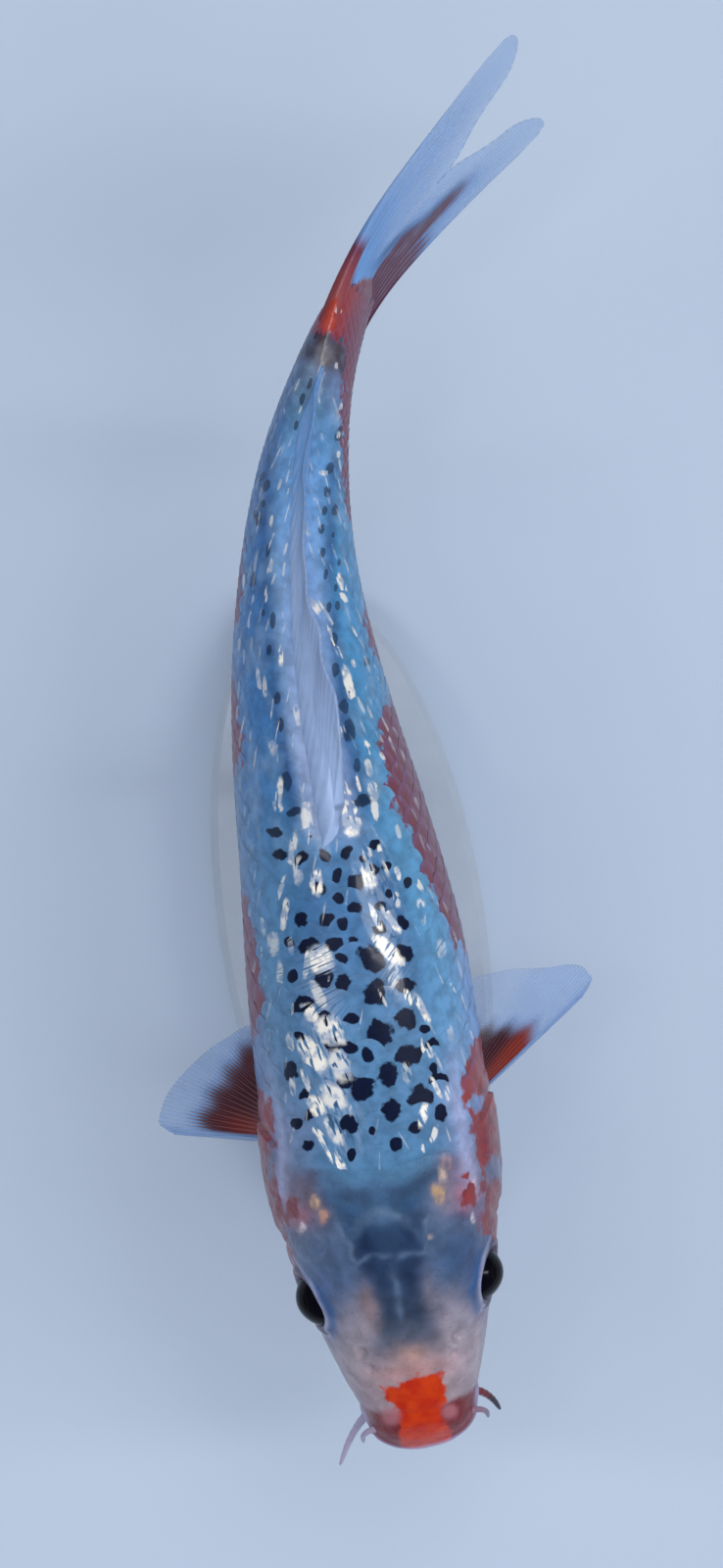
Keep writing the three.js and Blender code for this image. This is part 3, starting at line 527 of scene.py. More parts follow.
class Finish:
    """A node material in the making. Its methods add nodes and return what comes out of them: mark is a value of the
    mesh, ramp a smooth step between two levels, noise a smooth random value, mix a share of a colour laid over
    another, shade a colour times a factor, split a vector's parts, and length the root of their summed squares."""

    def __init__(self, name):
        self.material = bpy.data.materials.new(name)
        self.material.use_nodes = True
        self.tree = self.material.node_tree
        self.shader = self.tree.nodes["Principled BSDF"]
        self.place = self.add("TexCoord", "Object")

    def plug(self, socket, value):
        """Links an output to a socket, or sets the socket to a number, a vector or a colour for tone."""
        if isinstance(value, Value):
            self.tree.links.new(value.socket, socket)
        else:
            socket.default_value = (*tone(*value), 1) if socket.type == "RGBA" else value

    def add(self, kind, output, inputs=(), **settings):
        node = self.tree.nodes.new("ShaderNode" + kind)
        for name, value in settings.items():
            setattr(node, name, value)
        for socket, value in dict(inputs).items():
            self.plug(node.inputs[socket], value)
        return Value(self, node.outputs[output])

    def mark(self, name, output="Fac"):
        return self.add("Attribute", output, attribute_name=name)

    def math(self, operation, *values):
        return self.add("Math", 0, enumerate(values), operation=operation)

    def ramp(self, value, low, high, start=0.0, end=1.0):
        inputs = {"Value": value, "From Min": low, "From Max": high, "To Min": start, "To Max": end}
        return self.add("MapRange", "Result", inputs, interpolation_type="SMOOTHSTEP")

    def noise(self, scale, detail=2, vector=None):
        return self.add("TexNoise", "Fac", {"Vector": vector or self.place, "Scale": scale, "Detail": detail})

    def mix(self, share, ground, colour):
        return self.add("Mix", 2, {0: share, 6: ground, 7: colour}, data_type="RGBA")

    def shade(self, colour, factor):
        return self.add("VectorMath", 0, {0: colour, "Scale": factor}, operation="SCALE")

    def split(self, vector):
        return [self.add("SeparateXYZ", axis, {0: vector}) for axis in "XYZ"]

    def length(self, x, y):
        return self.math("POWER", x * x + y * y, 0.5)

    def dress(self, normal=(), **settings):
        """Sets the shader's own sockets. Words in a name are joined by _. normal lists bumps: a height and a depth."""
        bumps = {}
        for height, depth in normal:
            bumps = {"Normal": self.add("Bump", "Normal", {"Height": height, "Distance": depth, **bumps})}
        for name, value in {**settings, **bumps}.items():
            self.plug(self.shader.inputs[name.replace("_", " ")], value)


def red_over(finish, ground, soft, middle=None):
    """The red markings over a ground colour: full inside their ragged edge, which is soft over that many millimetres,
    and wine red to orange by their warmth. On scales, middle is how near a point is to its scale's middle, where the
    red is deepest."""
    depth = finish.mark("red")
    ragged = (finish.noise(650, 3) - 0.5) * 2.6
    inside = finish.ramp(depth + ragged, -soft, soft)
    warmth = finish.mark("warmth")
    pale = finish.mix(finish.noise(900, 3), (112, 64, 98), (134, 82, 114))
    wine = finish.mix(finish.noise(1100), (108, 40, 56), (134, 54, 66))
    red = finish.mix(middle, pale, wine) if middle else wine
    orange = finish.mix(finish.noise(500, 4), (150, 40, 26), (198, 74, 46))
    red = finish.mix(finish.ramp(warmth, 0.3, 0.85), red, orange)
    vivid = finish.mix(finish.ramp(finish.noise(420, 3), 0.25, 0.8), (184, 32, 0), (210, 64, 4))
    red = finish.mix(finish.ramp(warmth, 0.95, 1.15), red, vivid)
    return finish.mix(inside, ground, red)


def put_together(name, points, *faces, finish, **marks):
    """Makes an object from straight-fish points and arrays of faces, with a value, vector or colour per point under
    each mark's name."""
    mesh = bpy.data.meshes.new(name)
    corners = np.concatenate([part.ravel() for part in faces]).astype(np.int32)
    sizes = np.concatenate([np.full(len(part), part.shape[1]) for part in faces])
    mesh.vertices.add(len(points))
    mesh.vertices.foreach_set("co", bend(points).astype(np.float32).ravel())
    mesh.loops.add(len(corners))
    mesh.loops.foreach_set("vertex_index", corners)
    mesh.polygons.add(len(sizes))
    mesh.polygons.foreach_set("loop_start", np.concatenate([[0], np.cumsum(sizes)[:-1]]).astype(np.int32))
    mesh.update(calc_edges=True)
    mesh.shade_smooth()
    for mark, values in marks.items():
        values = np.asarray(values, np.float32).reshape(len(points), -1)
        if values.shape[1] == 3 and mark.endswith("colour"):
            values = np.concatenate([values, np.ones((len(points), 1), np.float32)], 1)
        kinds = {1: ("FLOAT", "value"), 3: ("FLOAT_VECTOR", "vector"), 4: ("FLOAT_COLOR", "color")}
        kind, field = kinds[values.shape[1]]
        mesh.attributes.new(mark, kind, "POINT").data.foreach_set(field, values.ravel())
    mesh.materials.append(finish.material)
    piece = bpy.data.objects.new(name, mesh)
    bpy.context.collection.objects.link(piece)
    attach(piece, "root")
    return piece


def unwrap(piece, corner_places):
    """Gives a piece its map for baking, from a place in the unit square for each face corner."""
    layer = piece.data.uv_layers.new(name="OFBake")
    layer.data.foreach_set("uv", np.asarray(corner_places, np.float32).ravel())


def grid(rows, columns):
    """Two grids of the given rows and columns, of each point's row value and of its column value."""
    return np.meshgrid(rows, columns, indexing="ij")


def grid_faces(rows, columns, closed):
    """Quads between neighbouring rows and columns, the last column joined to the first where it is closed."""
    row, column = grid(np.arange(rows - 1), np.arange(columns - (not closed)))
    after = (column + 1) % columns
    corners = ((row, column), (row, after), (row + 1, after), (row + 1, column))
    return np.stack([r * columns + c for r, c in corners], -1).reshape(-1, 4)


def fan(ring, tip, inward):
    """Triangles from a closed ring of points to a tip."""
    after = np.roll(ring, -1)
    return np.stack([ring, after, np.full_like(ring, tip)][::-1 if inward else 1], -1)


skin_y = np.concatenate([
    SNOUT_ROUNDING * (1 - np.cos(np.linspace(0.06, np.pi / 2, 17))),
    np.linspace(SNOUT_ROUNDING, 58, 174)[1:],
    np.linspace(58, SKIN_END, 108)[1:],
])
SKIN_COLUMNS = 304
skin_share = np.arange(SKIN_COLUMNS) / SKIN_COLUMNS * 2 - 1
grid_y, grid_share = grid(skin_y, skin_share)
plain = surface(grid_y, grid_share)
skin_points = plain + relief(plain)[..., None] * outward(grid_y, grid_share)
skin_points = np.concatenate([skin_points.reshape(-1, 3), [[0, 0, wide_line(0)], [0, SKIN_END + 0.2, 0]]])
plain = np.concatenate([plain.reshape(-1, 3), skin_points[-2:]])

skin_finish = Finish("bare_skin")
pigment = skin_finish.ramp(skin_finish.noise(1900, 3), 0.56, 0.74, 1.0, 0.78)
clouds = skin_finish.ramp(skin_finish.noise(420, 5), 0.3, 0.7, 0.84, 1.14)
skin_ground = skin_finish.shade(skin_finish.mark("ground_colour", "Color"), pigment * clouds)
lip_edge = skin_finish.mark("lip") + (skin_finish.noise(700) - 0.5)
lip_red = skin_finish.mix(skin_finish.noise(800, 3), (92, 12, 20), (134, 30, 36))
skin_ground = skin_finish.mix(skin_finish.ramp(lip_edge, -0.6, 0.7), skin_ground, lip_red)
pale_spots = skin_finish.mix(skin_finish.noise(900), (170, 104, 114), (188, 126, 138))
skin_colour = red_over(skin_finish, skin_ground, 0.45)
skin_colour = skin_finish.mix(skin_finish.mark("nose_spots"), skin_colour, pale_spots)
skin_colour = skin_finish.mix(skin_finish.mark("rim"), skin_colour, (176, 168, 208))
skin_finish.dress(
    Base_Color=skin_colour,
    Roughness=skin_finish.ramp(skin_finish.noise(520, 3), 0.3, 0.7, 0.3, 0.46),
    Specular_IOR_Level=0.26,
    Coat_Weight=0.3,
    Coat_Roughness=0.12,
    Subsurface_Weight=0.12,
    Subsurface_Radius=(0.9, 0.45, 0.35),
    Subsurface_Scale=0.0012,
    normal=[(skin_finish.noise(1300, 4), 0.00012), (skin_finish.noise(5200, 1), 0.00003)],
)
skin_red, skin_warmth = red_marking(plain)
skin_lip, skin_rim = lip_marking(plain)
nose_spots = 0.8 * smooth(plain[:, 2], -2, 0) * sum(
    smooth(bell(np.hypot(plain[:, 0] - spot_x, plain[:, 1] - spot_y), spot_size), 0.2, 0.9)
    for spot_x, spot_y, spot_size in ((-4.7, 6, 1.8), (4.1, 5, 1.5))
)
first_ring = np.arange(SKIN_COLUMNS)
last_ring = first_ring + (len(skin_y) - 1) * SKIN_COLUMNS
skin = put_together(
    "skin", skin_points, grid_faces(len(skin_y), SKIN_COLUMNS, True),
    fan(first_ring, len(plain) - 2, True), fan(last_ring, len(plain) - 1, False),
    finish=skin_finish, ground_colour=ground_colour(plain), red=skin_red, warmth=skin_warmth,
    lip=skin_lip, rim=0.85 * skin_rim, nose_spots=nose_spots,
)
map_y = np.linspace(0.02, 0.98, len(skin_y))
map_share = np.linspace(0, 1, SKIN_COLUMNS + 1)
row, column = (part.ravel() for part in grid(np.arange(len(skin_y) - 1), np.arange(SKIN_COLUMNS)))
low, high = map_share[:-1], map_share[1:]
corner_maps = (
    [(map_y[row + i], map_share[column + j]) for i, j in ((0, 0), (0, 1), (1, 1), (1, 0))],
    [(0, (low + high) / 2), (0.02, high), (0.02, low)],
    [(0.98, low), (0.98, high), (1, (low + high) / 2)],
)
unwrap(skin, np.concatenate([np.stack([stack(*at) for at in part], 1).reshape(-1, 2) for part in corner_maps]))
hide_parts("head", "upper_lip", "lower_jaw", "gill_cover_left", "gill_cover_right", "trunk", "tail_stem")

# ------------------------------------------------------------------------------------------------------------
# The scales. About 1300 thin, round, horny plates in 36 staggered rows, each rooted in the skin under the plate
# ahead of it and free at its rear edge, almost flush on the back and clearer on the flanks. Black spots lie under
# them along the back, and some are silvered, so that they flash white between fine dark lines. Those flashes are
# painted highlights, and the dark lines between them are the grooves, left out of the painted highlight and, in the
# sheen, painted in as shade. A streaked sheen on each side of the back's front half is painted reflected light too,
# and each plate is painted darker towards its root, as shade under the plate ahead.

SCALE_ROWS = 36
scale_pitch = curve([[30, 5.6], [56, 5.4], [70, 4.7], [80, 4.1], [100, 3.6], [120, 3.1], [145, 2.6], [176, 2]])
pitch_y = np.arange(30, 176, 0.25)
pitch_count = np.concatenate([[0], np.cumsum(0.25 / scale_pitch(pitch_y))[:-1]])
random = np.random.default_rng(20)

rows = np.arange(1, SCALE_ROWS + 1) - SCALE_ROWS // 2
row_number, scale_number = (part.ravel() for part in grid(rows, np.arange(60)))
scale_count = scale_number + 0.5 * (row_number % 2) + 0.25
scale_share = 2 * row_number / SCALE_ROWS
scale_y = np.interp(scale_count, pitch_count, pitch_y)
middle = surface(scale_y, scale_share)
grown = (scale_count < pitch_count[-1] - 0.2) & (scale_y > scale_front(middle[:, 2]) + 0.6)
grown &= ~((row_number == 0) & (scale_y > 93) & (scale_y < 151))  # the dorsal fin stands there
grown &= ~((row_number == SCALE_ROWS // 2) & (scale_y > 138) & (scale_y < 148))  # and the anal fin
scale_count, scale_share, scale_y, middle = (part[grown] for part in (scale_count, scale_share, scale_y, middle))
scales = len(scale_y)

PLATE_LENGTH = 0.8  # half of a plate's length, in pitches along its row
PLATE_WIDTH = 0.95  # half of its width, in pitches between rows
# One plate: a 7 by 7 grid pressed into a disc, closed below by a fan. a runs from root to rear, b across.
steps = np.array([-1, -0.8, -0.45, 0, 0.45, 0.8, 1])
p, q = (part.ravel() for part in grid(steps, steps))
plate_a = np.append(p * np.sqrt(1 - q * q / 2), 0)
plate_b = np.append(q * np.sqrt(1 - p * p / 2), 0)
plate_grid = np.arange(len(p)).reshape(len(steps), -1)
plate_rim = np.concatenate([plate_grid[0, :-1], plate_grid[:-1, -1], plate_grid[-1, :0:-1], plate_grid[:0:-1, 0]])
PLATE_FAN = len(plate_a) - 1  # the point under the plate's middle
PLATE_SEAT = 0.14  # how deep a plate lies below the body's surface where it is not raised
plate_height = -0.2 + 0.24 * plate_a - 0.1 * plate_b ** 2 - 0.07 * smooth(np.hypot(plate_a, plate_b), 0.8, 1)
plate_height[PLATE_FAN] -= 0.12

size = 1 + 0.05 * random.standard_normal((scales, 1))
lift = 0.02 * random.standard_normal((scales, 1)) * plate_a + 0.025 * random.standard_normal((scales, 1)) * plate_b
count_at = scale_count[:, None] + PLATE_LENGTH * size * plate_a + 0.02 * random.standard_normal((scales, 1))
share_at = scale_share[:, None] + PLATE_WIDTH * 2 / SCALE_ROWS * size * plate_b
y_at = np.interp(count_at, pitch_count, pitch_y) + np.maximum(count_at - pitch_count[-1], 0) * 1.9
plain_plates = surface(y_at, share_at)
bold = 0.1 + 0.24 * smooth(np.abs(plain_plates[..., 0]) / half_width(y_at), 0.7, 0.98)
bold = bold + (1 - bold) * smooth(-plain_plates[..., 2], -1, 4)
plate_rise = (plate_height + PLATE_SEAT) * (0.3 + 0.7 * bold) * (1 - 0.45 * smooth(y_at, 150, 176)) - PLATE_SEAT
scale_points = plain_plates + (plate_rise + lift * bold)[..., None] * outward(y_at, share_at)

# Black spots under the plates: each one's place across and along the fish and its radius.
spots = np.array([
    [-4.2, 46.3, 0.75], [2.4, 47, 0.9], [-0.7, 49.3, 0.6], [-3.9, 50.8, 1.2], [5.6, 48.9, 0.9], [9.5, 50.4, 1],
    [2.5, 52, 1.45], [6.9, 53.4, 1.55], [-1.4, 55.5, 1.6], [9.9, 55.3, 1.15], [2.7, 57.2, 1.5], [6.4, 59.7, 1.65],
    [0, 60.5, 0.85], [-2.2, 61.8, 0.9], [9.7, 60.7, 0.9], [2.3, 63.5, 1.75], [-1.7, 66, 0.9], [6.3, 65, 1.45],
    [-11.5, 59.4, 1.15], [-10, 55.6, 0.8], [-3.4, 57.2, 1.1], [-4.7, 62.8, 1.1], [2.2, 69.4, 1.65], [6.6, 69.9, 1.2],
    [-2.2, 71.5, 1.1], [-8.6, 68.9, 1.25], [-4.9, 72.6, 1.3], [2.4, 74.3, 1.6], [7.2, 74.4, 1.3], [-6.4, 77.5, 1.2],
    [-2.6, 77.2, 1.05], [-1.7, 75, 0.8], [0.3, 77.1, 0.8], [-1, 80, 0.85], [1.2, 82, 0.9], [-3.2, 81, 1],
    [-6.9, 81.6, 1], [4.1, 78.6, 1], [5, 81.7, 0.7], [-0.9, 83.7, 0.7], [2, 85.5, 1.2], [-0.6, 87.1, 0.85],
    [-3.4, 85.6, 0.9], [4.6, 86.8, 0.9], [-1.8, 90.3, 0.8], [1.4, 90.2, 0.8], [-5.2, 90.6, 0.9], [-8.2, 91.6, 0.8],
    [-11.6, 51.6, 0.8], [-10.2, 48.3, 0.8], [-9.4, 52.8, 0.8], [9.4, 57, 0.7], [8.9, 63.1, 0.7], [-9.3, 73.4, 0.8],
    [-9.2, 78.4, 0.7], [7.8, 78.6, 0.8], [9.4, 84.2, 0.6], [-5.4, 66.6, 0.9], [-9.6, 64.4, 0.7], [5.6, 90.5, 0.7],
    [5.1, 97, 1], [-5, 97.4, 0.8], [-8.5, 95, 0.9], [5.4, 102.5, 0.7], [-5.2, 102, 0.9], [5.2, 107.6, 1.15],
    [5, 111.3, 0.85], [4.4, 117, 0.7], [-4.7, 110, 0.6], [-4.6, 114, 0.6], [4.7, 121.6, 0.6], [4.4, 126.5, 0.5],
    [4.1, 131.6, 0.5], [3.7, 135, 0.55], [3.5, 138.5, 0.6], [3.9, 141.5, 0.5], [4.1, 144.4, 0.6], [4.2, 148.2, 0.65],
    [-5, 121, 0.5], [-4.4, 135.2, 0.5], [-1, 157.6, 0.6], [-0.3, 160, 0.45], [-1.3, 153.6, 0.45], [-1.2, 167, 0.4],
])
# Silver flashes in them, painted highlights: place across and along, half width, half length, drift across per
# length, and brightness.
flashes = np.array([
    [-6.6, 46, 0.7, 2.6, -0.45, 1], [-8.6, 49.9, 0.5, 2, -0.5, 0.9], [-6.3, 50, 0.8, 1.7, -0.3, 0.7],
    [-8.3, 53.9, 1.15, 1.5, -0.3, 1], [-5.9, 54.9, 1.5, 1.8, -0.25, 0.75], [-8, 57.4, 0.9, 1.2, -0.3, 1],
    [-8, 61.3, 1.35, 2.5, -0.3, 1], [-5, 64.7, 1.7, 2.1, -0.2, 0.9], [-7.5, 67.6, 0.9, 1.3, -0.3, 1],
    [-4.1, 59.4, 1.2, 2.3, -0.2, 0.65], [-5.9, 70, 0.7, 1.9, -0.3, 0.55], [-4.9, 75.3, 1.6, 1.9, -0.1, 1],
    [-7.1, 74.9, 0.35, 2.3, 0.25, 0.85], [-3.7, 86.6, 0.75, 1.8, 0.1, 1], [-6, 88.9, 0.7, 1.8, 0.1, 0.55],
    [-6.2, 92.3, 0.5, 2.2, 0.35, 0.65], [-3.4, 96.3, 0.7, 2, 0.2, 0.6], [-9.1, 82.7, 0.45, 2.1, 0.3, 0.8],
    [-9, 86.6, 0.35, 1.5, 0.5, 0.65], [-11.6, 78.4, 0.75, 1.6, 0.1, 0.5], [-11.2, 73.9, 0.45, 1.8, 0.1, 0.45],
    [-11, 63.6, 0.45, 1.3, 0, 0.5], [-11.5, 57.2, 0.4, 1.2, 0, 0.6], [-11.6, 52.9, 0.4, 0.8, 0, 0.8],
    [-9.4, 57.8, 0.4, 1.6, -0.2, 0.9], [-12.6, 81.4, 0.35, 1.3, 0, 0.4], [-9, 78, 0.4, 1.2, 0, 0.5],
    [7, 50.6, 0.6, 1.6, 0.3, 1], [6.8, 46, 0.6, 0.8, 0.5, 1], [8.2, 47.6, 0.4, 1.1, 0.4, 0.7],
    [9.4, 54.3, 0.35, 1.6, -0.3, 0.9], [10.9, 53.2, 0.3, 1, 0, 0.8], [8.3, 60.6, 0.3, 1.3, 0, 0.9],
    [9.1, 59.9, 0.4, 1, -0.2, 0.7], [8.8, 66.2, 0.5, 2, -0.35, 1], [7, 68.1, 0.4, 1.1, -0.1, 1],
    [5, 75.2, 1.05, 2.1, -0.6, 0.95], [5.3, 71.5, 0.7, 1.7, 0.1, 0.55], [3.9, 80.2, 0.45, 2, -0.3, 1],
    [6.1, 79.4, 0.5, 1.9, -0.5, 1], [3.9, 86.2, 0.85, 2, 0, 1], [2.9, 94.8, 1.1, 2.2, 0, 1.2],
    [4.3, 89.6, 0.6, 1.3, 0.1, 0.6], [6.6, 95.3, 0.5, 1.5, 0.1, 0.75], [6.2, 89.4, 0.3, 0.9, 0, 0.9],
    [8.2, 85.9, 0.35, 1, -0.1, 0.9], [6.6, 86.6, 0.25, 1.2, -0.2, 0.7], [7.4, 82, 0.4, 1, 0, 0.6],
    [10.8, 81, 0.5, 0.6, 0, 0.8], [11, 83.6, 0.35, 0.8, -0.3, 0.8], [10.8, 78.9, 0.3, 0.9, 0, 0.7],
    [12.8, 74.2, 0.6, 1.3, 0.1, 0.45], [12.5, 61.7, 0.4, 1, 0, 0.45], [9.4, 91.6, 0.3, 1, 0, 0.5],
    [5.4, 57.2, 0.6, 1.4, 0, 0.4], [3, 99.4, 0.5, 1.1, -0.3, 1], [4.9, 99.9, 0.25, 1.2, -0.1, 0.9],
    [6.9, 98, 0.7, 1.3, 0, 0.6], [6.9, 101.6, 0.45, 1.2, 0, 0.7], [7.4, 104.6, 0.3, 1, -0.15, 1],
    [9.2, 103, 0.25, 0.6, -0.3, 0.8], [4, 108, 0.4, 1.4, -0.2, 0.7], [3.3, 112, 0.6, 0.5, 0, 0.8],
    [6.1, 114.7, 0.55, 2.3, -0.12, 1.1], [7.1, 117.6, 0.3, 0.6, -0.2, 0.9], [4.9, 120.5, 0.3, 3.4, -0.28, 0.95],
    [2.5, 126.5, 0.45, 1.6, -0.55, 1.1], [4, 125.4, 0.22, 1.8, -0.5, 0.7], [6.4, 130.1, 0.45, 1.4, -0.3, 1],
    [6.6, 128, 0.4, 0.7, -0.4, 0.9], [7.7, 122.8, 0.18, 0.9, -0.4, 0.7], [-4.1, 133, 0.35, 1.2, 0.1, 1],
    [-3.3, 119.8, 0.32, 1.3, 0.1, 1], [-7, 116.6, 0.28, 1.6, 0, 0.55], [-6.2, 116, 0.28, 1.4, 0.1, 0.5],
    [-6.7, 100.3, 0.45, 2, 0.3, 0.85], [-7.2, 98.6, 0.6, 0.8, 0, 0.7], [-4.8, 129, 0.2, 1, 0.1, 0.6],
    [-6.2, 107, 0.6, 0.9, 0, 0.45], [-2.1, 111, 0.35, 1.4, 0, 0.5], [1.2, 138.6, 0.4, 1.2, -0.4, 0.6],
    [-4, 139.4, 0.25, 0.9, 0.15, 0.7], [3.9, 147.2, 0.9, 0.4, 0, 1], [5.6, 144, 0.3, 0.3, 0, 0.9],
    [2.7, 163.8, 0.2, 0.4, 0, 0.5], [4.4, 158, 0.2, 0.5, 0, 0.9], [5.2, 150.6, 0.2, 0.5, 0, 0.7],
    [0.9, 171.4, 0.3, 0.4, 0, 0.7], [4.8, 153.6, 0.2, 0.5, 0, 0.7], [-3.8, 155.2, 0.3, 0.5, 0, 0.5],
])

# Small marks of no listed place join them: specks beside the dorsal fin and glints all over the upper side,
# the glints painted highlights like the flashes.
bare = surface(np.interp(scale_count + 0.3, pitch_count, pitch_y), scale_share)
across, along, up = bare.T
(
    speck_here, speck_size, _, glint_drift, speck_across, speck_along,
    glint_long, glint_shine, glint_here, glint_wide, glint_across, plate_seed,
) = random.random((12, scales))
upper = (up > 0) & (np.abs(across) / half_width(along) < 0.93)


def beyond(marks, size):
    """How far each plate's bare part lies beyond each mark's own size."""
    return np.hypot(across[:, None] - marks[:, 0], along[:, None] - marks[:, 1]) - size


beside_fin = bell(np.abs(across) - 5.4, 2.4) * smooth(along, 88, 98) * smooth(along, 158, 152)
dark_sides = 0.14 * smooth(along, 104, 94) * (np.abs(across) < 11)
free = beyond(spots, spots[:, 2]).min(1) > 0.9
own = upper & free & (speck_here < 0.18 * beside_fin + dark_sides)
specks = stack(across + speck_across - 0.5, along + speck_along - 0.5, 0.25 + 0.4 * speck_size)[own]
spots = np.concatenate([spots, specks])
free = beyond(flashes, flashes[:, 3]).min(1) > 0.6
own = upper & free & (glint_here < 0.56 * smooth(along, 162, 146))
glints = stack(
    across + 0.8 * (glint_across - 0.5), along + 0.3, 0.1 + 0.15 * glint_wide, 0.7 + 1.1 * glint_long,
    np.where(across > 0, -0.3, 0.25) + 0.3 * (glint_drift - 0.5), 0.2 + 0.34 * glint_shine ** 2,
)[own]
flashes = np.concatenate([flashes * [1, 1, 1.2, 1.15, 1, 1], glints])

# Each plate shows the two spots and the two flashes nearest to its bare part, in those marks' own measures, so that
# a mark runs on over the plates it lies on.
spot_marks, flash_marks = [], []
spot_order = beyond(spots, spots[:, 2]).argsort(1)
flash_order = beyond(flashes, 0.7 * flashes[:, 3] + 0.3 * flashes[:, 2]).argsort(1)
rear = smooth(spots[:, 1], 93, 101)
spot_turn = np.pi * random.random(len(spots)) * (1 - rear) + 0.15 * rear
spot_stretch = 1 + 0.3 * random.random(len(spots)) + 0.35 * rear
plate_x, plate_y = scale_points[..., 0], scale_points[..., 1]
for place in range(2):
    mark = spot_order[:, place]
    spot_x, spot_y, spot_size = spots[mark].T[..., None]
    turn, stretch = spot_turn[mark][:, None], spot_stretch[mark][:, None]
    spot_across, spot_along = plate_x - spot_x, plate_y - spot_y
    spot_marks.append(stack(
        (spot_along * np.cos(turn) + spot_across * np.sin(turn)) / (spot_size * stretch),
        (spot_across * np.cos(turn) - spot_along * np.sin(turn)) / (spot_size * (2 - stretch) ** 0.5),
        upper[:, None] * (1 - 0.34 * rear[mark][:, None]),
    ))
    flash_x, flash_y, flash_wide, flash_long, drift, shine = flashes[flash_order[:, place]].T[..., None]
    flash_along = plate_y - flash_y
    flash_across = (plate_x - flash_x - drift * flash_along) / flash_wide
    flash_marks.append(stack(flash_across, flash_along / flash_long, shine * upper[:, None]))
slant = np.where(plate_x > 0, -0.3, -0.25) * smooth(plate_y, 80, 66)
slant = slant + np.where(plate_x > 0, -0.15, 0.2) * smooth(plate_y, 66, 80)
streak_mark = stack(0.24 * plate_y, plate_x - slant * plate_y, 40 * plate_seed[:, None])
# The sheen: painted reflected light, a band of pale and dark streaks on each side of the back's front half.
sheen = bell(plate_x + 5.4 + 0.04 * (plate_y - 60), 2.5) * smooth(plate_y, 44, 50) * smooth(plate_y, 80, 67)
sheen = sheen + 0.6 * bell(plate_x - 5.6, 2.2) * smooth(plate_y, 66, 72) * smooth(plate_y, 96, 84)

plates = Finish("scales")
place_a, place_b, seed = plates.split(plates.mark("plate", "Vector"))
from_middle = plates.length(place_a, place_b)
rings = plates.ramp(plates.math("SINE", from_middle * 70.0), -1.0, 1.0, 0.98, 1.02)
veins = plates.ramp(plates.noise(480, 4), 0.32, 0.68, 0.84, 1.2)
bold_edge = plates.mark("bold")
scale_ground = plates.shade(plates.mark("ground_colour", "Color"), rings * veins)
# Each plate's own random tone, times painted shade that darkens it towards its root, under the plate ahead.
plate_tone_and_root_shade = plates.ramp(seed, 0.0, 1.0, 0.88, 1.12) * plates.ramp(place_a, -0.4, 0.2, 0.82, 1.0)
scale_ground = plates.mix(bold_edge, scale_ground, plates.shade(scale_ground, plate_tone_and_root_shade))
rear_rim = plates.ramp(from_middle, 0.78, 0.95) * plates.ramp(place_a, 0.1, 0.7)
rear_rim = rear_rim * (plates.ramp(seed, 0.0, 1.0, 0.1, 0.45) * bold_edge)
scale_ground = plates.mix(rear_rim, scale_ground, (176, 192, 222))
scale_red = red_over(plates, scale_ground, 0.3, plates.ramp(from_middle, 1.0, 0.3))
grooves = plates.noise(1.5, 1, plates.mark("streak", "Vector"))
sheen_share = plates.mark("sheen") * 0.7
# Painted sheen: pale streaks of reflected light on the grooves' crests, and painted shade in their hollows.
painted_highlight = plates.ramp(grooves, 0.44, 0.58) * sheen_share
scale_colour = plates.mix(painted_highlight, scale_red, (156, 166, 190))
painted_groove_shade = plates.ramp(grooves, 0.42, 0.3) * sheen_share
scale_colour = plates.mix(painted_groove_shade, scale_colour, (20, 36, 74))
ragged_spot = (plates.noise(640, 4) - 0.5) * 1.5
ragged_flash = (plates.noise(700, 4) - 0.5) * 0.9
ink, flash = 0.0, 0.0
for place in "12":
    spot_x, spot_y, spot_on = plates.split(plates.mark("spot" + place, "Vector"))
    spot_far = plates.length(spot_x, spot_y) + ragged_spot
    ink = plates.math("MAXIMUM", ink, plates.ramp(spot_far, 1.2, 0.94) * spot_on)
    flash_x, flash_y, shine = plates.split(plates.mark("flash" + place, "Vector"))
    flash_far = plates.math("MAXIMUM", plates.math("ABSOLUTE", flash_x), plates.math("ABSOLUTE", flash_y))
    flash_far = flash_far * 0.3 + plates.length(flash_x, flash_y) * 0.7
    flash_far = plates.ramp(flash_far + ragged_flash, 1.18, 0.72)
    flash = plates.math("MAXIMUM", flash, flash_far * shine)
scale_colour = plates.mix(ink, scale_colour, plates.mix(plates.noise(1500), (2, 8, 30), (8, 24, 60)))
# The flashes' painted highlight, white to pale blue, broken where the grooves run low.
flash = plates.math("MINIMUM", flash * plates.ramp(grooves, 0.37, 0.45), 1.0)
painted_highlight = plates.mix(plates.ramp(plates.noise(520, 3), 0.38, 0.56), (172, 186, 208), (254, 249, 240))
scale_colour = plates.mix(flash, scale_colour, painted_highlight)
plates.dress(
    Base_Color=scale_colour,
    Roughness=plates.ramp(flash, 0.0, 1.0, 0.38, 0.24),
    Specular_IOR_Level=0.16,
    Coat_Weight=0.22,
    Coat_Roughness=0.1,
    normal=[(grooves * bold_edge, 0.00004), (plates.noise(2600, 2), 0.00002)],
)

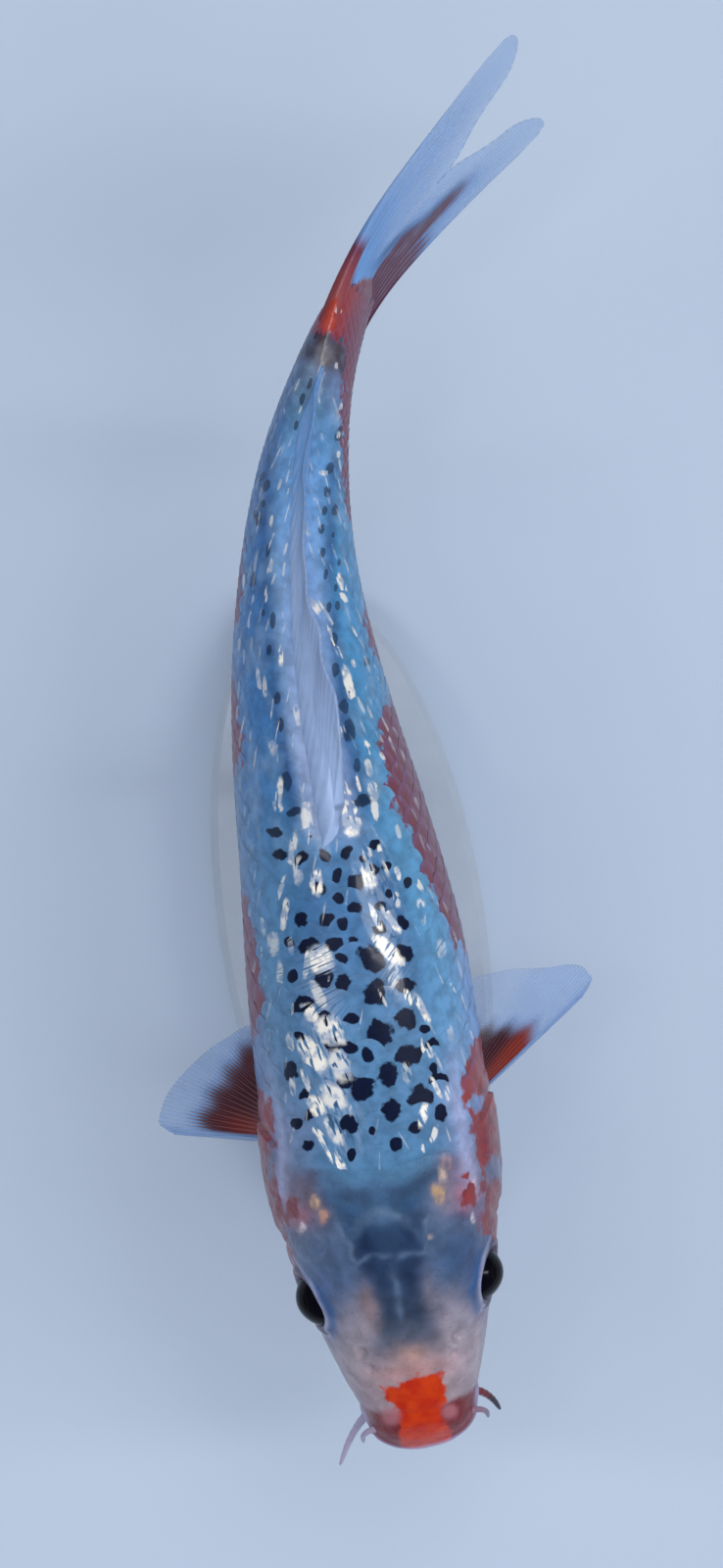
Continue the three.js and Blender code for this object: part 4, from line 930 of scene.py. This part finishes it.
plate_faces = grid_faces(len(steps), len(steps), False)[:, ::-1]
under_faces = fan(plate_rim, PLATE_FAN, False)
off_top = np.abs(scale_share)
region = np.select([off_top < 0.27, off_top >= 0.72, scale_share > 0], [0, 3, 1], 2)
for number, name in enumerate(("scales_back", "scales_left", "scales_right", "scales_belly")):
    own = np.flatnonzero(region == number)
    first = len(plate_a) * np.arange(len(own))[:, None, None]
    points = scale_points[own].reshape(-1, 3)
    red, warmth = red_marking(scale_points[own])
    middle_red, _ = red_marking(middle[own])
    red = wash(red, middle_red[:, None], 0.6 * smooth(scale_y[own], 60, 68))
    plate = stack(plate_a, plate_b, plate_seed[own][:, None])
    piece = put_together(
        name, points, (first + plate_faces).reshape(-1, 4), (first + under_faces).reshape(-1, 3),
        finish=plates, ground_colour=ground_colour(points), red=red, warmth=warmth, plate=plate,
        spot1=spot_marks[0][own], spot2=spot_marks[1][own], flash1=flash_marks[0][own], flash2=flash_marks[1][own],
        streak=streak_mark[own], sheen=sheen[own] * upper[own][:, None], bold=bold[own],
    )
    piece.data.set_sharp_from_angle(angle=np.radians(50))
    count, share = scale_count[own], scale_share[own]
    if name == "scales_belly":
        share = np.where(share < 0, share + 2, share)  # so that the two sides meet under the belly
    patch_u = (count[:, None] + 0.4 * plate_a - count.min() + 0.6) / (np.ptp(count) + 1.2)
    patch_v = (share[:, None] + 0.8 / SCALE_ROWS * plate_b - share.min() + 0.05) / (np.ptp(share) + 0.1)
    corner = np.empty(len(piece.data.loops), np.int32)
    piece.data.loops.foreach_get("vertex_index", corner)
    unwrap(piece, stack(patch_u.ravel(), patch_v.ravel())[corner])

# ------------------------------------------------------------------------------------------------------------
# The eyes. Lidless balls that turn a little forward and up in their sockets, with a swelling clear front, a wide
# black pupil in a thin ring that is a little paler, and a near-black iris faintly flecked with brown.

eye_finish = Finish("eyes")
look = eye_finish.mark("look")  # degrees from the eye's axis
iris = eye_finish.mix(eye_finish.ramp(eye_finish.noise(1600, 4), 0.5, 0.75), (4, 4, 12), (26, 20, 22))
iris = eye_finish.mix(eye_finish.ramp(look, 29.0, 30.4, 1.0, 0.0), iris, (30, 26, 32))
iris = eye_finish.mix(eye_finish.ramp(look, 36.0, 44.0), iris, (4, 4, 14))
eye_finish.dress(
    Base_Color=eye_finish.mix(eye_finish.ramp(look, 28.2, 29.0), (3, 3, 5), iris),
    Roughness=0.2,
    IOR=1.2,
    Specular_IOR_Level=0.3,
    Coat_Weight=0.3,
    Coat_IOR=1.3,
    Coat_Roughness=0.03,
    normal=[(eye_finish.noise(2600, 2), 0.00002)],
)
EYE_ROWS, EYE_COLUMNS = 60, 72
for name, side in (("eye_ball_left", 1), ("eye_ball_right", -1)):
    turn, around = grid(np.radians(np.linspace(2, 178, EYE_ROWS)), np.arange(EYE_COLUMNS) / EYE_COLUMNS * 2 * np.pi)
    centre, axis = EYE_CENTRE * [side, 1, 1], EYE_AXIS * [side, 1, 1]
    sideways = unit(np.cross(axis, [0, 0, 1]))
    upward = np.cross(sideways, axis)
    turned = (np.cos(turn), axis), (np.sin(turn) * np.cos(around), sideways), (np.sin(turn) * np.sin(around), upward)
    radius = EYE_RADIUS - 0.1 + 0.3 * bell(turn, 0.6)
    ball = sum(share[..., None] * direction for share, direction in turned) * radius[..., None]
    ends = centre + np.array([[EYE_RADIUS + 0.2], [0.1 - EYE_RADIUS]]) * axis
    points = np.concatenate([(centre + ball).reshape(-1, 3), ends])
    ring = np.arange(EYE_COLUMNS)
    piece = put_together(
        name, points, grid_faces(EYE_ROWS, EYE_COLUMNS, True)[:, ::-1], fan(ring, len(points) - 2, False),
        fan((EYE_ROWS - 1) * EYE_COLUMNS + ring, len(points) - 1, True),
        finish=eye_finish, look=np.append(np.degrees(turn), [0, 180]),
    )
    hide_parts("eye_left" if side > 0 else "eye_right")

# ------------------------------------------------------------------------------------------------------------
# The barbels. Four soft feelers of skin, a long pair from the mouth's corners and a short pair from the snout's
# sides. The long one on the fish's left is wine red to a black tip, the short one there half so, and the others
# are pale.

barbel_finish = Finish("barbels")
barbel_out = barbel_finish.mark("out")
barbel_dark = barbel_finish.mix(barbel_finish.ramp(barbel_out, 0.3, 0.7), (120, 40, 54), (26, 20, 34))
barbel_pale = barbel_finish.mix(barbel_finish.noise(900, 3), (150, 150, 190), (186, 170, 190))
barbel_finish.dress(
    Base_Color=barbel_finish.mix(barbel_finish.mark("dark"), barbel_pale, barbel_dark),
    Roughness=barbel_finish.ramp(barbel_finish.noise(700), 0.3, 0.7, 0.28, 0.42),
    Coat_Weight=0.4,
    Coat_Roughness=0.15,
    normal=[(barbel_finish.noise(2400, 3), 0.00006)],
)
short_route = np.array([[6.6, 4.2, -1.4], [8.6, 3.8, -2.6], [9.5, 3, -4.4], [9.6, 2, -6.2]])
barbels = (  # each one's route, its radius at the root and the tip, and how dark it is
    ("barbel_long_left", [[7, 6.8, -5.6], [9.2, 6, -7.2], [10.8, 4.2, -9.4], [11.6, 2.2, -11.6]], 0.72, 0.3, 1),
    ("barbel_long_right", [[-7, 6.8, -5.6], [-9.4, 5, -7.6], [-11.8, 2.2, -10.4], [-14, -1.4, -13]], 0.72, 0.3, 0),
    ("barbel_short_left", short_route, 0.52, 0.25, 0.6),
    ("barbel_short_right", short_route * [-1, 1, 1], 0.52, 0.25, 0.15),
)
BARBEL_ROWS, BARBEL_COLUMNS = 48, 20
for node, route, root_radius, tip_radius, dark in barbels:
    out = np.linspace(0, 1, BARBEL_ROWS)
    path = np.stack([curve(list(zip(np.linspace(0, 1, 4), line)))(out) for line in np.transpose(route)], -1)
    along = unit(np.gradient(path, axis=0))
    first = unit(np.cross(along, [0, 1, 0]))
    around = (np.arange(BARBEL_COLUMNS) / BARBEL_COLUMNS * 2 * np.pi)[:, None]
    radius = (root_radius + (tip_radius - root_radius) * out) * np.sqrt(1 - out ** 14) + 0.03
    radius = radius * (1 + 0.05 * np.sin(out * 60))
    ring = np.cos(around) * first[:, None] + np.sin(around) * np.cross(along, first)[:, None]
    tube = path[:, None] + radius[:, None, None] * ring
    points = np.concatenate([tube.reshape(-1, 3), path[[0, -1]]])
    ring = np.arange(BARBEL_COLUMNS)
    piece = put_together(
        node + "_feeler", points, grid_faces(BARBEL_ROWS, BARBEL_COLUMNS, True),
        fan(ring, len(points) - 2, True), fan(len(points) - 2 - BARBEL_COLUMNS + ring, len(points) - 1, False),
        finish=barbel_finish, out=np.append(np.repeat(out, BARBEL_COLUMNS), [0, 1]), dark=np.full(len(points), dark),
    )
    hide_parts(node)

# ------------------------------------------------------------------------------------------------------------
# The paired fins. Fans of soft branching rays in a clear skin, held by a fleshy root. The front pair is wine red
# along its rays and clear at the rim, the fish's left one more orange, and the hind pair is white.


def ray_ridge(u, v, rays):
    """1 on a ray's crest and 0 midway between two: a raised cosine across the rays, each of which forks into two
    from a third of the way out."""
    single = 0.5 + 0.5 * np.cos(2 * np.pi * rays * u)
    double = 0.5 + 0.5 * np.cos(4 * np.pi * rays * u)
    return single + (double - single) * smooth(v, 0.25, 0.7)


def fin_finish(name, membrane, ray_colour, stain, warm_stain, ray_stain=(0, 0, 0), ray_share=0.0):
    """The finish of a fin: a clear skin, rays that show through it with fine joints across them, and a stain whose
    share, warmth and the fin's own solidity come from the mesh, with a share of another colour on the rays in it."""
    finish = Finish(name)
    ridge = finish.mark("ridge")
    cloud = finish.noise(420, 3)
    red = finish.mix(finish.mark("warmth"), stain, warm_stain)
    red = finish.mix(finish.ramp(ridge, 0.5, 0.95) * ray_share, red, ray_stain)
    joints = finish.ramp(finish.math("SINE", finish.mark("reach") * 7.0), -0.2, 0.9, 0.4, 0.3)
    clear = finish.mix(finish.ramp(ridge, 0.3, 0.9) * joints, membrane, ray_colour)
    clear = finish.shade(clear, finish.ramp(cloud, 0.3, 0.7, 0.94, 1.05))
    share = finish.mark("stain") + ((cloud - 0.5) * 0.3 + (ridge - 0.5) * 0.5)
    colour = finish.mix(finish.ramp(share, 0.1, 0.9), clear, red)
    solid = finish.mark("solid") + finish.ramp(ridge, 0.2, 0.9) * 0.1
    finish.dress(
        Base_Color=colour,
        Alpha=finish.math("MINIMUM", solid, 1.0),
        Roughness=finish.ramp(cloud, 0.3, 0.7, 0.32, 0.45),
        Specular_IOR_Level=0.3,
        Coat_Weight=0.25,
        Coat_Roughness=0.18,
        normal=[(finish.noise(1800, 2), 0.00003)],
    )
    return finish


def make_fin(name, middle_sheet, u, v, thickness, rays, reach, finish, ribbing=0.18, **marks):
    """A fin from its middle sheet, a grid of points by share across the rays and share out along them. Its two faces
    lie half a thickness off that sheet, of which the ribbing is a share that only the rays have, and they are joined
    round all four edges."""
    out_row, across_row = np.gradient(middle_sheet, axis=(0, 1))
    normal = unit(np.cross(across_row, out_row))
    ridge = ray_ridge(u, v, rays)
    half = (thickness * (1 - ribbing + ribbing * ridge) / 2)[..., None]
    points = np.concatenate([middle_sheet + half * normal, (middle_sheet - half * normal)[:, ::-1]], 1)
    rows, columns = points.shape[:2]
    column = np.arange(columns // 2 - 1)
    ends = []
    for start in (0, (rows - 1) * columns):
        strip = [start + column, start + column + 1, start + columns - 2 - column, start + columns - 1 - column]
        ends.append(np.stack(strip if start else strip[::-1], -1))
    both = lambda part: np.concatenate([part, part[:, ::-1]], 1)
    return put_together(
        name, points.reshape(-1, 3), grid_faces(rows, columns, True), *ends, finish=finish,
        ridge=both(ridge), reach=both(reach), **{key: both(value + 0 * u) for key, value in marks.items()},
    )


FIN_RAYS = 24
v, u = grid(np.linspace(0, 1, 72), np.linspace(0, 1, 10 * FIN_RAYS + 1))


def fan_sheet(roots, lead, trail, ray, bow, u, v):
    """A fan of rays: each starts on the line between two roots and runs in a direction between the leading and the
    trailing one, to the ray's length, bowing as it goes, with soft folds between the rays near the rim."""
    direction = unit(lead + u[..., None] * (trail - lead))
    length = curve(ray)(u) * (1 + 0.003 * np.cos(2 * np.pi * 2 * FIN_RAYS * u))
    reach = (length * v)[..., None]
    start = roots[0] + u[..., None] * (roots[1] - roots[0])
    fold = 0.16 * np.sin(2 * np.pi * (3.3 * u + 0.2)) * v ** 2
    fold = fold[..., None] * unit(np.cross(lead, trail))
    return start + direction * reach + bow * reach * v[..., None] + fold, reach[..., 0]


wine_fins = fin_finish(
    "wine_fins", (120, 166, 226), (158, 186, 230), (58, 18, 36), (140, 44, 30), (176, 104, 84), 0.4
)
pale_fins = fin_finish("pale_fins", (140, 172, 222), (200, 212, 236), (150, 84, 100), (196, 92, 60))
# For a fin on the fish's left: the root line's ends, the front and the rear ray's directions, the rays' lengths at
# places from front to rear, which way they bow, and the thickness at the root.
pelvic = (
    [[6.4, 85, -19.4], [3.6, 89.5, -20.4]], [0.3, 0.8, -0.52], [0.04, 0.97, -0.26],
    [[0, 21], [0.1, 24], [0.4, 22], [1, 13]], [-0.04, 0.04, 0.03], 1.8,
)
pectoral_right = (
    [[12.6, 47.2, -13], [11.6, 52.6, -16.2]], [0.74, 0.1, -0.66], [0.12, 0.82, -0.56],
    [[0, 24], [0.06, 27.5], [0.2, 27], [0.5, 22.5], [0.8, 18], [1, 14]], [0.04, 0.02, 0.1], 2.2,
)
pectoral_left = (
    [[12.4, 48.2, -13], [11.8, 53.6, -16]], [0.68, 0.44, -0.56], [0.26, 0.86, -0.44],
    [[0, 27], [0.05, 30], [0.12, 30], [0.35, 25], [0.7, 19], [1, 15]], [0.1, 0.1, 0.06], 2.2,
)
paired_fins = (
    ("pectoral_fin_right", -1, wine_fins, pectoral_right),
    ("pectoral_fin_left", 1, wine_fins, pectoral_left),
    ("pelvic_fin_left", 1, pale_fins, pelvic),
    ("pelvic_fin_right", -1, pale_fins, pelvic),
)
for node, side, finish, (roots, lead, trail, ray, bow, root_thickness) in paired_fins:
    roots, lead, trail, bow = (np.array(part) * [side, 1, 1] for part in (roots, lead, trail, bow))
    sheet, reach = fan_sheet(roots, lead, trail, ray, bow, u, v)
    thickness = root_thickness * (1 - v) ** 2.2 + 0.32 + 0.35 * bell(u, 0.03) * (1 - v)
    if node == "pectoral_fin_right":
        stain = smooth(v + 0.02 * np.sin(37 * u) - 0.14 * bell(u - 0.75, 0.25), 0.86, 0.58)
        stain = stain * smooth(u, 0.02, 0.06)
        warmth = 0.7 * bell(u - 0.12, 0.12) * smooth(v, 0.7, 0.3) + 0.4 * smooth(v, 0.3, 0.08)
    elif node == "pectoral_fin_left":
        stain = smooth(v + 0.02 * np.sin(33 * u) + 0.06 * u, 0.72, 0.5)
        stain = stain * smooth(u, 0.015, 0.05)
        warmth = 0.9 - 0.9 * smooth(u, 0.12, 0.3)
    else:
        stain = 0.6 * smooth(v, 0.3, 0.02)
        warmth = 0.3 + 0 * u
    solid = 0.24 + 0.7 * np.clip(stain, 0, 1) + 0.5 * smooth(v, 0.4, 0) + 0.3 * bell(u, 0.04)
    if node == "pectoral_fin_left":
        solid = solid * (1 - 0.5 * smooth(u, 0.25, 0.6) * smooth(v, 0.2, 0.6))
    fin = make_fin(
        node + "_fan", sheet, u, v, thickness, FIN_RAYS, reach, finish,
        stain=np.clip(stain, 0, 1), warmth=warmth, solid=solid,
    )
    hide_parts(node)
    "pectoral_fins" if "pectoral" in node else "pale_fins"

# ------------------------------------------------------------------------------------------------------------
# The dorsal and anal fins. The dorsal is folded back along the spine and leans to the fish's left, so its stiff
# rays lie close over each other and show pale from above. The anal fin hangs under the tail stem.

DORSAL_RAYS = 20
v, u = grid(np.linspace(0, 1, 56), np.linspace(0, 1, 12 * DORSAL_RAYS + 1))
dorsal_finish = fin_finish("dorsal_fin", (160, 184, 226), (168, 192, 230), (110, 158, 216), (110, 158, 216))
root_y = 90 + 62 * u
rise = np.radians(22) + np.arctan((top_line(root_y + 1) - top_line(root_y - 1)) / 2)
reach = curve([[0, 15], [0.06, 20.5], [0.2, 19], [0.5, 13.5], [1, 11]])(u) * v
climb = reach * np.sin(rise)
lean = np.radians(42) * smooth(v, 0, 0.5)
sheet = stack(
    climb * np.sin(lean) + 0.18 * np.sin(2 * np.pi * 5 * u) * v,
    root_y + reach * np.cos(rise),
    top_line(root_y) - 1.2 + climb * np.cos(lean),
)
root_thickness = 5.2 - 2.2 * u
thickness = root_thickness + (0.4 - root_thickness) * v ** 0.55
dorsal = make_fin(
    "dorsal_fin_fold", sheet, u, v, thickness, DORSAL_RAYS, reach, dorsal_finish, ribbing=0.05,
    stain=smooth(root_y + reach, 122, 160), warmth=0, solid=1.05 - 0.35 * smooth(v, 0.5, 1),
)
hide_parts("dorsal_fin")

ANAL_RAYS = 8
v, u = grid(np.linspace(0, 1, 56), np.linspace(0, 1, 15 * ANAL_RAYS + 1))
root_y = 136 + 13 * u
drop = np.radians(48 - 18 * u)
reach = curve([[0, 21], [0.08, 23.5], [0.35, 19], [1, 11]])(u) * v
sheet = stack(
    1.6 * v ** 2 + 0.15 * np.sin(2 * np.pi * 2.3 * u) * v,
    root_y + reach * np.cos(drop),
    bottom_line(root_y) + 1.2 - reach * np.sin(drop),
)
thickness = 1.9 * (1 - v) ** 2 + 0.32
anal = make_fin(
    "anal_fin_blade", sheet, u, v, thickness, ANAL_RAYS, reach, pale_fins,
    stain=0.5 * smooth(v, 0.25, 0), warmth=0.4, solid=0.35 + 0.6 * smooth(v, 0.5, 0),
)
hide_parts("anal_fin")

# ------------------------------------------------------------------------------------------------------------
# The tail fin. Two lobes of branching rays that spread from the tail stem's rounded end, joined at the fork. The
# lower lobe's rays are wine red near the root, the upper one's only at its front edge, and both clear outwards.

TAIL_ROOT = 169
TAIL_RAYS = 18
tail_finish = fin_finish(
    "tail_fin", (104, 160, 226), (134, 178, 232), (84, 30, 60), (146, 64, 50), (142, 74, 104), 0.3
)
v, s = grid(np.linspace(0, 1, 96), np.linspace(-1, 1, 13 * TAIL_RAYS + 1))
side = np.sign(s)
u = 1 - np.abs(s)  # 0 at a lobe's front edge, 1 at the fork
upper_ray = curve([[0, 45], [0.05, 49], [0.14, 50], [0.4, 45], [0.7, 34], [1, 24]])(u)
lower_ray = curve([[0, 41.5], [0.05, 45.5], [0.14, 46.8], [0.4, 42], [0.7, 33], [1, 24]])(u)
reach = np.where(side > 0, upper_ray, lower_ray) * v
spread = np.radians(15) * (1 - u) ** 1.4
sheet = stack(
    0.25 * np.sin(2 * np.pi * 2 * s) * v ** 1.5,
    TAIL_ROOT + 3 * u + reach * np.cos(spread),
    side * (9.4 * (1 - u) + reach * np.sin(spread) - 1.2 * v * (1 - u)),
)
thickness = 0.36 + 2.2 * (1 - v) ** 3 + 0.5 * bell(u, 0.04) * (1 - v)
streaks = bell(u - 0.4, 0.15) * smooth(v, 0.8, 0.58) + bell(u - 0.7, 0.16) * smooth(v, 0.64, 0.46)
lower_stain = np.maximum(streaks, 1.05 * smooth(v, 0.56, 0.3) * smooth(u, 0.98, 0.8)) * (side < 0)
upper_stain = smooth(v, 0.34, 0.2) * (side > 0) * smooth(u + 0.6 * v, 0.36, 0.2)
root_stain = smooth(v, 0.14, 0.04) * np.where(side > 0, smooth(u, 0.8, 0.5), 1)
stain = np.clip(lower_stain + upper_stain + root_stain, 0, 1)
tail = make_fin(
    "tail_fin_lobes", sheet, (s + 1) / 2, v, thickness, TAIL_RAYS, reach, tail_finish,
    stain=stain, warmth=0.8 * upper_stain * smooth(v, 0.3, 0.14) + 0.4 * root_stain * (side > 0),
    solid=0.42 + 0.58 * np.clip(stain + smooth(v, 0.55, 0.1), 0, 1) - 0.2 * smooth(v, 0.5, 1),
)
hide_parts("caudal_fin_upper", "caudal_fin_lower")

# ------------------------------------------------------------------------------------------------------------
# The display stand. An oval base, turned and lacquered in a pale satin grey, with two drawn steel rods, each set in
# a collar, whose tips are let into the belly. Its shapes are the frame's own.

lacquer = Finish("stand_lacquer")
lacquer.dress(
    Base_Color=lacquer.mix(lacquer.noise(180, 4), (176, 188, 206), (188, 199, 214)),
    Roughness=lacquer.ramp(lacquer.noise(500, 3), 0.3, 0.7, 0.3, 0.4),
    Coat_Weight=0.25,
    Coat_Roughness=0.2,
    normal=[(lacquer.noise(900, 2), 0.00005)],
)
steel = Finish("stand_steel")
drawn = steel.noise(260, 3, steel.add("Mapping", 0, {"Vector": steel.place, "Scale": (14, 14, 0.6)}))
steel.dress(
    Base_Color=steel.mix(drawn, (150, 154, 160), (186, 189, 193)),
    Metallic=1.0,
    Roughness=steel.ramp(drawn, 0.3, 0.7, 0.22, 0.36),
    normal=[(drawn, 0.00004)],
)
for node, finish in (("stand_base", lacquer), ("stand_rod_front", steel), ("stand_rod_rear", steel)):
    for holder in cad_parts[node].material_slots:
        holder.material = finish.material

# ------------------------------------------------------------------------------------------------------------
# The studio. A plain pale floor, two long soft lamps along the fish, one on each side overhead, a wide soft lamp
# over it and another before its head, and the camera straight above, its long side along the fish.

floor_mesh = bpy.data.meshes.new("floor")
floor_mesh.from_pydata([(-3, -3, 0), (3, -3, 0), (3, 3, 0), (-3, 3, 0)], [], [(0, 1, 2, 3)])
floor = bpy.data.objects.new("floor", floor_mesh)
bpy.context.collection.objects.link(floor)
floor_finish = Finish("floor_paper")
floor_finish.dress(
    Base_Color=floor_finish.mix(floor_finish.noise(14, 3), (188, 204, 226), (194, 209, 229)),
    Roughness=0.75,
    normal=[(floor_finish.noise(1200, 2), 0.00002)],
)
floor_mesh.materials.append(floor_finish.material)

lamps = (
    ("lamp_left", (-0.52, 0.05, 0.92), (0.1, 0.75), 2.4),
    ("lamp_right", (0.66, 0.0, 0.86), (0.12, 0.75), 3.6),
    ("lamp_over", (0.15, 0.25, 1.5), (1.0, 1.2), 8.0),
    ("lamp_front", (0.2, -1.3, 0.8), (0.8, 0.5), 4.0),
)
for name, place, (wide, long), watts in lamps:
    light = bpy.data.lights.new(name, "AREA")
    light.shape = "RECTANGLE"
    light.size, light.size_y, light.energy = wide, long, watts
    lamp = bpy.data.objects.new(name, light)
    bpy.context.collection.objects.link(lamp)
    aim = np.array([0, 0, AXIS_HEIGHT / 1000]) - place
    lamp.location = place
    lamp.rotation_euler = Vector(aim).to_track_quat("-Z", "Y").to_euler()
    lamp.visible_glossy = name in ("lamp_left", "lamp_right")
world = bpy.data.worlds.new("studio")
world.use_nodes = True
world.node_tree.nodes["Background"].inputs["Color"].default_value = (0.72, 0.8, 0.92, 1)
world.node_tree.nodes["Background"].inputs["Strength"].default_value = 0.22
bpy.context.scene.world = world
bpy.context.scene.view_settings.view_transform = "Standard"

camera = bpy.data.objects.new("camera", bpy.data.cameras.new("camera"))
bpy.context.collection.objects.link(camera)
camera.location = (0.00149, 0.02216, 0.958)
camera.data.lens = 138.05
camera.data.sensor_width = 36
bpy.context.scene.camera = camera
